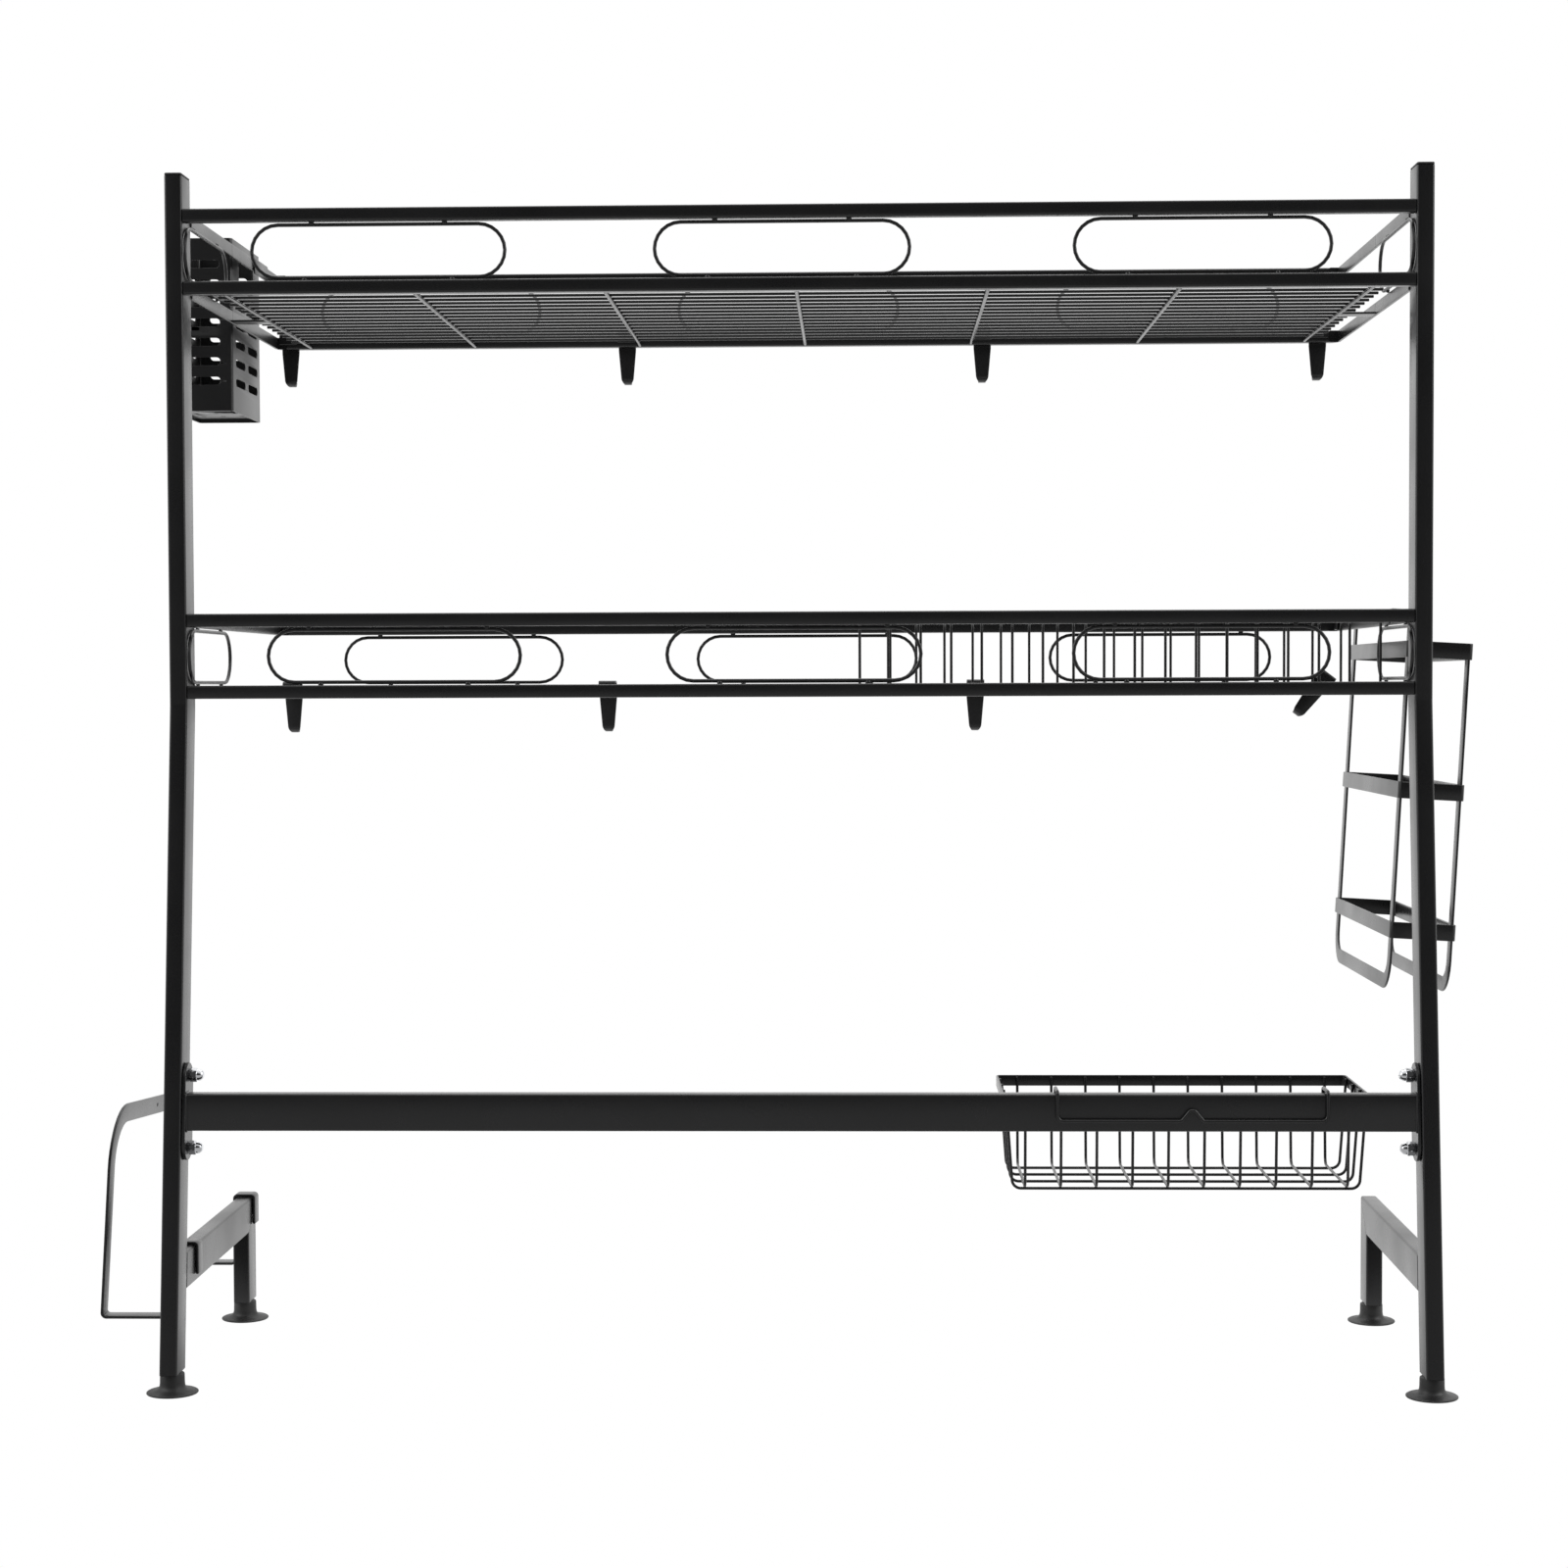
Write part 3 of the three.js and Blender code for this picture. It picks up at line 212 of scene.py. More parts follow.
def finished(name, bm, material, body, slot, *nodes, place=None):
    """Turns a built shape into a piece that rides on a body and stands for its CAD nodes."""
    bmesh.ops.remove_doubles(bm, verts=bm.verts, dist=1e-5)
    bmesh.ops.recalc_face_normals(bm, faces=bm.faces)
    if place is not None:
        bmesh.ops.transform(bm, matrix=place, verts=bm.verts)
    bmesh.ops.transform(bm, matrix=TO_SCENE, verts=bm.verts)
    mesh = as_mesh(bm, name)
    mesh.shade_smooth()
    mesh.set_sharp_from_angle(angle=SHARP_EDGE)
    mesh.materials.append(material)
    piece = in_scene(name, mesh)
    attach(piece, body)
    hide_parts(*nodes)
    return piece


def cut_out(piece, cutters):
    """Cuts a shape of millimetre sizes out of a finished piece."""
    bmesh.ops.transform(cutters, matrix=TO_SCENE, verts=cutters.verts)
    bmesh.ops.recalc_face_normals(cutters, faces=cutters.faces)
    tool = in_scene("cutters", as_mesh(cutters, "cutters"))
    modifier = piece.modifiers.new("cut", "BOOLEAN")
    modifier.object, modifier.solver = tool, "EXACT"
    result = evaluated(piece)
    piece.modifiers.clear()
    piece.data = result
    result.set_sharp_from_angle(angle=SHARP_EDGE)
    bpy.data.objects.remove(tool)


def maths(tree, operation, *values):
    """The result of a maths node on sockets and numbers."""
    node = tree.nodes.new("ShaderNodeMath")
    node.operation = operation
    for socket, value in zip(node.inputs, values):
        if isinstance(value, (int, float)):
            socket.default_value = value
        else:
            tree.links.new(value, socket)
    return node.outputs[0]


def ranged(tree, value, span, result=(0, 1)):
    """Maps one span of a value to another and holds it between that one's ends."""
    node = tree.nodes.new("ShaderNodeMapRange")
    for name, level in zip(("From Min", "From Max", "To Min", "To Max"), (*span, *result)):
        node.inputs[name].default_value = level
    tree.links.new(value, node.inputs["Value"])
    return node.outputs["Result"]


SPECK_LEVELS, SPECK_HEIGHT, DRIFT_LEVELS = (0.62, 0.8), 0.35, (0.3, 0.7)


def coat_grain():
    """Powder coat's fine orange-peel ripple, a slower drift in how glossy it is, and specks
    where a grain of powder stood proud."""
    group = bpy.data.node_groups.new("powder_grain", "ShaderNodeTree")
    face = group.interface
    for name, value in (("Ripple per metre", 700.0), ("Speckle per metre", 2600.0),
                        ("Gloss drift per metre", 14.0)):
        face.new_socket(name, in_out="INPUT", socket_type="NodeSocketFloat").default_value = value
    for name in ("Height", "Gloss drift", "Speck"):
        face.new_socket(name, in_out="OUTPUT", socket_type="NodeSocketFloat")
    nodes, links = group.nodes, group.links
    given, out = nodes.new("NodeGroupInput"), nodes.new("NodeGroupOutput")
    place = nodes.new("ShaderNodeTexCoord")
    results = []
    for index, detail in enumerate((2.0, 1.0, 3.0)):
        noise = nodes.new("ShaderNodeTexNoise")
        noise.inputs["Detail"].default_value = detail
        links.new(place.outputs["Object"], noise.inputs["Vector"])
        links.new(given.outputs[index], noise.inputs["Scale"])
        results.append(noise.outputs["Fac"])
    ripple, speckle, drift = results
    links.new(maths(group, "MULTIPLY_ADD", speckle, SPECK_HEIGHT, ripple), out.inputs["Height"])
    links.new(drift, out.inputs["Gloss drift"])
    links.new(ranged(group, speckle, SPECK_LEVELS), out.inputs["Speck"])
    return group


POWDER_GRAIN = coat_grain()


def powder_coat(name, dark, pale, gloss, ripple, speckle, depth, specular=0.5):
    """A powder-coated finish: two near-black tones, a range of roughness and a ripple."""
    material = bpy.data.materials.new(name)
    material.use_nodes = True
    tree = material.node_tree
    nodes, links = tree.nodes, tree.links
    shader = nodes["Principled BSDF"]
    shader.inputs["Specular IOR Level"].default_value = specular
    grain = nodes.new("ShaderNodeGroup")
    grain.node_tree = POWDER_GRAIN
    grain.inputs["Ripple per metre"].default_value = ripple
    grain.inputs["Speckle per metre"].default_value = speckle
    tone = nodes.new("ShaderNodeMix")
    tone.data_type = "RGBA"
    tone.inputs["A"].default_value = (*dark, 1)
    tone.inputs["B"].default_value = (*pale, 1)
    links.new(grain.outputs["Speck"], tone.inputs["Factor"])
    links.new(tone.outputs["Result"], shader.inputs["Base Color"])
    roughness = ranged(tree, grain.outputs["Gloss drift"], DRIFT_LEVELS, gloss)
    links.new(roughness, shader.inputs["Roughness"])
    bump = nodes.new("ShaderNodeBump")
    bump.inputs["Strength"].default_value = 0.6
    bump.inputs["Distance"].default_value = depth
    links.new(grain.outputs["Height"], bump.inputs["Height"])
    links.new(bump.outputs["Normal"], shader.inputs["Normal"])
    return material


TUBE_COAT = powder_coat("tube_powder_coat", dark=(0.008, 0.008, 0.0084), pale=(0.017, 0.017, 0.018),
                        gloss=(0.24, 0.34), ripple=650, speckle=2400, depth=0.00003)
BAR_HEIGHT, BAR_INSET = 187, 8.5


def post_rear(z):
    """Rear face of a post's leaning part at a height."""
    return -math.tan(LEAN) * (KINK_HEIGHT - z)


def on_post(distance, into=0.0):
    """A place along the leaning post, from the crossbar's middle, and into the rack."""
    start = Vector((0, post_rear(BAR_HEIGHT) + BAR_INSET / math.cos(LEAN), BAR_HEIGHT))
    return start + UP_POST * distance + INTO_RACK * into


BOLT_SPREAD = 24.3
BOLT_MIDDLE = TUBE_DEEP / 2 - BAR_INSET
TOP_SHELF, MIDDLE_SHELF = 736.3, 464
PANEL_TALL, RAIL = 57.5, 9
SCREW_HEIGHTS = [base + up for base in (TOP_SHELF, MIDDLE_SHELF)
                 for up in (RAIL / 2, PANEL_TALL - RAIL / 2)]
BOLT_HOLE, BOLT_ACCESS, SCREW_HOLE, SCREW_ACCESS = 5.3, 9.6, 4.1, 5.8
HOLE_LEAD, HOLE_STEP, HOLE_LONG = 2, 8, 18
for side, sign in SIDES:
    kink = Vector((sign * POST_MIDDLE, TUBE_DEEP / 2,
                   KINK_HEIGHT - TUBE_DEEP / 2 * math.tan(LEAN / 2)))
    foot_y = kink.y - math.tan(LEAN) * (kink.z - TUBE_FOOT)
    line = bent([(kink.x, kink.y, TUBE_TOP), kink, (kink.x, foot_y, TUBE_FOOT)], KINK_RADIUS, 8)
    post = bmesh.new()
    pipe(post, line, planes=(None, -Z))
    post = finished(f"post_{side}", post, TUBE_COAT, "frame", "tube_coat", f"post_{side}")
    holes = bmesh.new()
    bolts = [(on_post(up, BOLT_MIDDLE), BOLT_HOLE, BOLT_ACCESS)
             for up in (BOLT_SPREAD, -BOLT_SPREAD)]
    screws = [(Vector((0, RAIL / 2, z)), SCREW_HOLE, SCREW_ACCESS) for z in SCREW_HEIGHTS]
    for place, hole, access in bolts + screws:
        stepped = [(0, 0), (hole / 2, 0), (hole / 2, HOLE_STEP), (access / 2, HOLE_STEP),
                   (access / 2, HOLE_LONG), (0, HOLE_LONG)]
        lathe(holes, stepped, place + X * sign * (POST_INNER - HOLE_LEAD), X * sign, 24)
    cut_out(post, holes)


# THE POST CAPS
# Black moulded plugs pressed into the open tops of the posts. A thin plate with softened
# edges covers the tube's end, and a hollow skirt holds it inside.
def moulded(bm, levels, centre):
    """A moulding of the tube's outline, each level drawn in by an inset at its own height."""
    rings = []
    for inset, height in levels:
        edge = max(TUBE_EDGE - inset, 0.2)
        pairs = rounded_bar(TUBE_WIDE - 2 * inset, TUBE_DEEP - 2 * inset, edge)
        rings.append([bm.verts.new(Vector(centre) + Vector((a, b, height))) for a, b in pairs])
    for near, far in zip(rings, rings[1:]):
        for k in range(len(near)):
            after = (k + 1) % len(near)
            bm.faces.new((near[k], near[after], far[after], far[k]))
    bm.faces.new(rings[0][::-1])
    bm.faces.new(rings[-1])


CAP_PLASTIC = powder_coat("cap_moulded_plastic", dark=(0.012, 0.012, 0.012),
                          pale=(0.016, 0.016, 0.016), gloss=(0.5, 0.62), ripple=1500, speckle=5200,
                          depth=0.00003, specular=0.4)
CAP_LEVELS = [(3.2, -8), (1.7, -9), (1.5, -8.6), (1.5, 0.3), (0.35, 0.3), (0.1, 0.42),
              (0.1, 1.1), (0.22, 1.45), (0.6, 1.72), (1.1, 1.8)]
for side, sign in SIDES:
    cap = bmesh.new()
    moulded(cap, CAP_LEVELS, (sign * POST_MIDDLE, TUBE_DEEP / 2, TUBE_TOP))
    finished(f"cap_{side}", cap, CAP_PLASTIC, "frame", "cap_plastic", f"post_cap_{side}")


# THE FRONT LEGS
# An arm of the same tube is welded square to each post and mitred to a short upright leg.
# The mitre and the joint at the post show as fine dark lines under the coat.
ARM_MIDDLE, LEG_MIDDLE = 78.5, 186
MITRE = Vector((0, 1, -1))
GAP = 0.3  # between pieces that are welded together, or that hang or stand on each other
for side, sign in SIDES:
    x = sign * POST_MIDDLE
    start = (x, post_rear(ARM_MIDDLE) + TUBE_DEEP / math.cos(LEAN) + GAP, ARM_MIDDLE)
    corner, foot = (x, LEG_MIDDLE, ARM_MIDDLE), (x, LEG_MIDDLE, TUBE_FOOT)
    leg = bmesh.new()
    pipe(leg, [start, corner], planes=(INTO_RACK, MITRE))
    pipe(leg, [corner, foot], planes=(MITRE, None))
    finished(f"side_leg_{side}", leg, TUBE_COAT, "frame", "tube_coat", f"side_leg_{side}")


# THE FEET
# Soft black feet, one in each tube end: a thin flared disc on a round boss, with a plug that
# is pushed up into the tube. Moulded in one piece.
FOOT_RUBBER = powder_coat("foot_soft_moulding", dark=(0.014, 0.014, 0.014),
                          pale=(0.024, 0.024, 0.024), gloss=(0.42, 0.6), ripple=900, speckle=4200,
                          depth=0.00004, specular=0.45)
FOOT_PROFILE = [(0, 0), (15.8, 0), (16.9, 0.15), (17.2, 0.5), (17.15, 1.0), (16.6, 1.35), (15, 1.6),
                (13, 1.95), (11.3, 2.45), (10, 3.1), (9, 4.1), (8.45, 5.4), (8.25, 7.2),
                (8.15, 12.6), (7.95, 13.3), (7.4, 13.68), (0, 13.7)]
PLUG_LEVELS = [(1.9, 0), (1.8, 1), (1.8, 8.5), (2.4, 9.4)]
PLUG_FOOT = 13.5
post_foot_y = post_rear(TUBE_FOOT) + TUBE_DEEP / math.cos(LEAN) / 2
for side, sign in SIDES:
    for row, y, lean in (("rear", post_foot_y, LEAN), ("front", LEG_MIDDLE, 0)):
        foot = bmesh.new()
        lathe(foot, FOOT_PROFILE, (sign * POST_MIDDLE, y, 0), Z, 48)
        plug = bmesh.new()
        moulded(plug, PLUG_LEVELS, (0, 0, 0))
        seat = Matrix.Translation((sign * POST_MIDDLE, y, PLUG_FOOT))
        bmesh.ops.transform(plug, verts=plug.verts, matrix=seat @ Matrix.Rotation(-lean, 4, "X"))
        foot.from_mesh(as_mesh(plug, "plug"))
        finished(f"foot_{row}_{side}", foot, FOOT_RUBBER, "frame", "foot_rubber",
                 f"foot_{row}_{side}")


# THE CROSSBAR
# A length of the same tube laid between the posts, square to the floor, with a round-ended
# flange welded across each end in line with the post. Two bolts hold each flange.
def round_bar(diameter, steps=12):
    """Section of round wire."""
    turns = [2 * math.pi * (k + 0.5) / steps for k in range(steps)]
    return [(diameter / 2 * math.cos(t), diameter / 2 * math.sin(t)) for t in turns]


def stadium(wide, long, steps=10):
    """Section of a plate with round ends, long in its second direction."""
    pairs = []
    for start, shift in ((0, 1), (math.pi, -1)):
        for k in range(steps + 1):
            angle = start + math.pi * k / steps
            pairs.append((wide / 2 * math.cos(angle),
                          shift * (long - wide) / 2 + wide / 2 * math.sin(angle)))
    return pairs


def weld(bm, path, size, across, closed=False):
    """A weld bead: a soft ridge that swells and narrows a little along the seam."""
    def swelling(point):
        swell = 1 + 0.16 * math.sin(1.9 * point.x + 2.3 * point.y + 2.7 * point.z)
        return [(a * swell, b * swell) for a, b in round_bar(size, 8)]
    drawn(bm, path, swelling, across, closed, ease=0 if closed else size / 3)


FLANGE_WIDE, FLANGE_TALL, FLANGE_THICK = 22, 65.5, 2.3
FLANGE_WELD = 2.1
BAR_END = POST_INNER - GAP
BAR_PLACE = Matrix.Translation(on_post(0)) @ Matrix.Rotation(-LEAN, 4, "X")
UPRIGHT = Matrix.Rotation(LEAN, 3, "X")
bar = bmesh.new()
drawn(bar, [(-BAR_END + FLANGE_THICK, 0, 0), (BAR_END - FLANGE_THICK, 0, 0)],
      rounded_bar(TUBE_WIDE, TUBE_DEEP, TUBE_EDGE), UPRIGHT @ Y)
for sign in (-1, 1):
    outer, inner = sign * BAR_END, sign * (BAR_END - FLANGE_THICK)
    drawn(bar, [(outer, BOLT_MIDDLE, 0), (inner, BOLT_MIDDLE, 0)],
          stadium(FLANGE_WIDE, FLANGE_TALL), Y * sign, ease=0.35)
    seam = [UPRIGHT @ Vector((inner, a, b))
            for a, b in rounded_bar(TUBE_WIDE, TUBE_DEEP, TUBE_EDGE, 3)]
    weld(bar, seam, FLANGE_WELD, X, closed=True)
finished("crossbar", bar, TUBE_COAT, "frame", "tube_coat", "crossbar", place=BAR_PLACE)


# THE CROSSBAR'S BOLTS AND ACORN NUTS
# Zinc-plated socket bolts bear on the inner wall of the post and come out through the
# flange, where chromed acorn nuts with domed tops close over their ends.
def bare_metal(name, dark, pale, gloss, ripple, depth):
    """Plated metal with faint handling marks in its tone and polish."""
    material = powder_coat(name, dark, pale, gloss, ripple, 1800, depth)
    material.node_tree.nodes["Principled BSDF"].inputs["Metallic"].default_value = 1
    return material


CHROME = bare_metal("nut_chrome_plate", dark=(0.72, 0.73, 0.75), pale=(0.86, 0.87, 0.88),
                    gloss=(0.05, 0.12), ripple=260, depth=0.00001)
ZINC = bare_metal("fixing_zinc_plate", dark=(0.44, 0.45, 0.47), pale=(0.62, 0.63, 0.64),
                  gloss=(0.26, 0.38), ripple=900, depth=0.00002)
NUT_PROFILE = [(3.1, 0), (4.3, 0), (4.95, 0.45), (4.95, 4.5), (4.55, 4.95), (4.1, 5.1),
               (3.95, 5.25), (3.9, 6.2), (3.68, 7.4), (3.2, 8.4), (2.5, 9.15), (1.6, 9.6),
               (0.7, 9.8), (0, 9.85)]
NUT_FLATS = [None] + [8.3] * 5 + [None] * 8
BOLT_SHANK = 9.4
BOLT_PROFILE = [(0, 0), (2.0, 0), (2.3, 0.3), (2.3, BOLT_SHANK), (4.0, BOLT_SHANK), (4.2, 9.7),
                (4.2, 11.2), (3.8, 11.85), (3.3, 12), (1.75, 12), (1.7, 11.8), (1.7, 10.6),
                (0, 10.3)]
BOLT_FLATS = [None] * 9 + [2.9, 2.8, 2.8, None]
WALL_INSIDE = POST_INNER + TUBE_WALL + GAP
for side, sign in SIDES:
    for level, rise in (("upper", BOLT_SPREAD), ("lower", -BOLT_SPREAD)):
        place = on_post(rise, BOLT_MIDDLE)
        nut = bmesh.new()
        lathe(nut, NUT_PROFILE, place + X * sign * (BAR_END - FLANGE_THICK - GAP), -X * sign, 48,
              NUT_FLATS)
        finished(f"acorn_nut_{side}_{level}", nut, CHROME, "frame", "nut_chrome",
                 f"acorn_nut_{side}_{level}")
        bolt = bmesh.new()
        lathe(bolt, BOLT_PROFILE, place + X * sign * (WALL_INSIDE - BOLT_SHANK), X * sign, 36,
              BOLT_FLATS)
        finished(f"bolt_{side}_{level}", bolt, ZINC, "frame", "fixing_steel",
                 f"crossbar_bolt_{side}_{level}")


# THE SHELF FRAMES
# Two 9 mm square tubes, one above the other, run along each shelf's rear and its front. The
# rear pair is screwed between the posts. Flat bars on edge, welded to the posts and jointed
# half way, run forward to the front pair. Oval wire loops keep the dishes in.
SHELF_DEEP, SEAM = 320, 152.3
RAIL_EDGE, SIDE_BAR, SIDE_EDGE = 1.5, 2, 0.5
LOOP_WIRE, LOOP_WIDE, LOOP_GAP = 2.5, 173.6, 0.8
LOOP_MIDDLES = {"top_shelf": ((-281.3, -9.4, 271.8), (-293.2, -13.2, 281.8)),
                "middle_shelf": ((-272.7, -2.3, 271.3), (-277.3, 0.5, 276.1))}
LOOP_WELDS = {"top_shelf": ((-50, 50), (-45, 45)), "middle_shelf": ((-50, 50), (-58, 63))}
LOOP_KNOB = [(0, -1.1), (1.5, -1.0), (1.9, -0.2), (1.75, 0.5), (2.2, 1.0), (0, 1.4)]
SIDE_LOOP_WIDE, SIDE_LOOP_TALL, SIDE_LOOP_MIDDLE = 126, 37.7, 63
SIDE_LOOP_WELD, SIDE_LOOP_SEAT, SIDE_LOOP_BAR, SIDE_LOOP_BEAD = 35, 17.8, 20.4, 2.8
BRACKET_SEAM, BRACKET_BEAD = 0.5, 1.3
SHELVES = (("top_shelf", TOP_SHELF), ("middle_shelf", MIDDLE_SHELF))
SCREW_SHANK = 6.5
SCREW_PROFILE = [(0, 0), (1.3, 0), (1.7, 0.4), (1.7, SCREW_SHANK), (2.55, SCREW_SHANK), (2.7, 6.7),
                 (2.7, 7.9), (2.3, 8.55), (1.6, 8.7), (1.05, 8.7), (1.0, 8.5), (1.0, 7.6), (0, 7.4)]
SCREW_FLATS = [None] * 9 + [1.8, 1.75, 1.75, None]


def oval(wide, tall, steps=12):
    """Middle line of an oval loop, from the middle of its lower run."""
    radius, line = tall / 2, [(0, -tall / 2)]
    for shift, start in ((wide / 2 - radius, -math.pi / 2), (radius - wide / 2, math.pi / 2)):
        for k in range(steps + 1):
            angle = start + math.pi * k / steps
            line.append((shift + radius * math.cos(angle), radius * math.sin(angle)))
    return line


def shelf_loops(bm, shelf, row, y, base):
    """Three loops between a pair of tubes, each held by four small welds."""
    middle = base + PANEL_TALL / 2
    tall = PANEL_TALL - 2 * RAIL - 2 * LOOP_GAP - LOOP_WIRE
    for centre in LOOP_MIDDLES[shelf][row]:
        line = [(centre + a, y, middle + b) for a, b in oval(LOOP_WIDE - LOOP_WIRE, tall)]
        drawn(bm, line, round_bar(LOOP_WIRE, 14), Y, closed=True)
        for turn, shifts in zip((-1, 1), LOOP_WELDS[shelf]):
            seat = middle + turn * (tall / 2 + LOOP_WIRE / 2)
            for shift in shifts:
                lathe(bm, LOOP_KNOB, (centre + shift, y, seat), Z * turn, 16)


square_tube, flat_bar = rounded_bar(RAIL, RAIL, RAIL_EDGE), rounded_bar(SIDE_BAR, RAIL, SIDE_EDGE)
corner_x, corner_y = POST_INNER + SIDE_BAR - RAIL / 2, SHELF_DEEP - RAIL / 2
for shelf, base in SHELVES:
    lower, middle, upper = base + RAIL / 2, base + PANEL_TALL / 2, base + PANEL_TALL - RAIL / 2
    rear = bmesh.new()
    for z in (lower, upper):
        drawn(rear, [(-BAR_END, RAIL / 2, z), (BAR_END, RAIL / 2, z)], square_tube, Y, ease=0.2)
    shelf_loops(rear, shelf, 0, RAIL / 2, base)
    finished(f"{shelf}_rear_rails", rear, TUBE_COAT, "frame", "tube_coat", f"{shelf}_rear_panel")

    front = bmesh.new()
    for z in (lower, upper):
        line = bent([(-corner_x, SHELF_DEEP - RAIL, z), (-corner_x, corner_y, z),
                     (corner_x, corner_y, z), (corner_x, SHELF_DEEP - RAIL, z)], RAIL / 2 - 0.1, 8)
        drawn(front, line, square_tube, X, ease=0.05)
    shelf_loops(front, shelf, 1, corner_y, base)
    finished(f"{shelf}_front_rails", front, TUBE_COAT, "frame", "tube_coat", f"{shelf}_front_panel")

    for side, sign in SIDES:
        bracket = bmesh.new()
        x = sign * (POST_INNER + SIDE_BAR / 2)
        for z in (lower, upper):
            drawn(bracket, [(x, TUBE_DEEP + GAP, z), (x, SEAM - GAP, z)], flat_bar, X, ease=0.2)
            bead = [Vector((x + a, TUBE_DEEP + BRACKET_SEAM, z + b))
                    for a, b in rounded_bar(SIDE_BAR + 0.2, RAIL - 0.6, 0.8, 3)]
            weld(bracket, bead, BRACKET_BEAD, Y, closed=True)
        loop_x = sign * (POST_INNER - GAP - LOOP_WIRE / 2)
        line = [(loop_x, SIDE_LOOP_MIDDLE + a, middle + b)
                for a, b in oval(SIDE_LOOP_WIDE - LOOP_WIRE, SIDE_LOOP_TALL - LOOP_WIRE)]
        drawn(bracket, line, round_bar(LOOP_WIRE, 14), X, closed=True)
        for y in (SIDE_LOOP_MIDDLE - SIDE_LOOP_WELD, SIDE_LOOP_MIDDLE + SIDE_LOOP_WELD):
            for turn in (-1, 1):
                weld(bracket, [(loop_x, y, middle + turn * SIDE_LOOP_SEAT),
                               (loop_x + sign * 1.2, y, middle + turn * SIDE_LOOP_BAR)],
                     SIDE_LOOP_BEAD, Y)
        finished(f"{shelf}_bracket_{side}", bracket, TUBE_COAT, "frame", "tube_coat",
                 f"{shelf}_bracket_{side}")
        for level, z in (("lower", lower), ("upper", upper)):
            rail = bmesh.new()
            drawn(rail, [(x, SEAM, z), (x, SHELF_DEEP - RAIL - GAP, z)], flat_bar, X, ease=0.2)
            finished(f"{shelf}_return_{side}_{level}", rail, TUBE_COAT, "frame", "tube_coat",
                     f"{shelf}_return_{side}_{level}")
            screw = bmesh.new()
            lathe(screw, SCREW_PROFILE, (sign * (WALL_INSIDE - SCREW_SHANK), RAIL / 2, z), X * sign,
                  30, SCREW_FLATS)
            finished(f"{shelf}_screw_{side}_{level}", screw, ZINC, "frame", "fixing_steel",
                     f"{shelf}_screw_{side}_{level}")


# THE SHELF GRIDS
# Sixteen round wires lie across seven rods and are spot-welded to them. The rods run between
# the rear and the front tubes, and a small tab bridges each side joint.
# The wires' coat is set darker than the tubes' coat. This is partly the wires' own black coat and
# partly painted shade: it makes the basket hanger read blacker against the crossbar, in place of
# the shadow the wire would cast there.
WIRE_COAT_AND_PAINTED_SHADE = powder_coat("wire_powder_coat_and_painted_shade", dark=(0.006, 0.006, 0.0063),
                        pale=(0.013, 0.013, 0.0135), gloss=(0.24, 0.34), ripple=900, speckle=3000,
                        depth=0.00002)
ROD, WIRE = 2.5, 2.2
ROD_PITCH, WIRE_PITCH, WIRE_COUNT, WIRE_OVERHANG = 129, 17.8, 16, 12
SPOT_WELD = [(0, -0.75), (1.3, -0.45), (1.7, 0), (1.3, 0.45), (0, 0.75)]
TAB_WIDE, TAB_THICK, TAB_RISE = 16, 1.4, 0.8


def wire_place(index):
    """Place along Y of a grid's wire, counted from the rear."""
    return SHELF_DEEP / 2 + (index - (WIRE_COUNT - 1) / 2) * WIRE_PITCH


rods = [turn * ROD_PITCH for turn in range(-3, 4)]
wire_end = rods[-1] + WIRE_OVERHANG
for shelf, base in SHELVES:
    grid = bmesh.new()
    rod_z, wire_z, tab_z = base + ROD / 2, base + ROD + WIRE / 2, base + TAB_RISE
    for x in rods:
        drawn(grid, [(x, RAIL + GAP, rod_z), (x, SHELF_DEEP - RAIL - GAP, rod_z)],
              round_bar(ROD, 14), X, ease=0.3)
    for k in range(WIRE_COUNT):
        y = wire_place(k)
        drawn(grid, [(-wire_end, y, wire_z), (wire_end, y, wire_z)], round_bar(WIRE), Y, ease=0.3)
        for x in rods:
            lathe(grid, SPOT_WELD, (x, y, base + ROD - 0.05), Z, 10)
    for side, sign in SIDES:
        drawn(grid, [(sign * rods[-1], SEAM, tab_z), (sign * (POST_INNER - GAP), SEAM, tab_z)],
              rounded_bar(TAB_WIDE, TAB_THICK, 0.3, 2), Y, ease=0.3)
    finished(f"{shelf}_grid", grid, WIRE_COAT_AND_PAINTED_SHADE, "frame", "wire_coat", f"{shelf}_grid")


# THE HOOKS
# Small hooks pressed from 1.6 mm sheet. The top is folded over a front tube as a loose clip,
# and the long leg narrows and curls up at its tip. One has swung over to the side.
SHEET_COAT = powder_coat("sheet_powder_coat", dark=(0.009, 0.009, 0.0095),
                         pale=(0.018, 0.018, 0.019), gloss=(0.28, 0.38), ripple=800, speckle=2800,
                         depth=0.00002)
HOOK_SHEET, HOOK_WIDE, HOOK_TIP, HOOK_CURL, HOOK_ROUND = 1.6, 13.5, 9.2, 5.8, 4.6
HOOK_LOW = -RAIL / 2 - 28
HOOK_ROOM, HOOK_TONGUE, HOOK_REACH, HOOK_RISE = 1.4, 3.3, 9, 6
SWUNG_LIFT, SWUNG_TURN = 4.9, 0.65


def spaced(path, step):
    """The same path with extra points no further apart than a step."""
    dense = [path[0]]
    for near, far in zip(path, path[1:]):
        cuts = max(1, math.ceil((far - near).length / step))
        dense += [near.lerp(far, k / cuts) for k in range(1, cuts + 1)]
    return dense


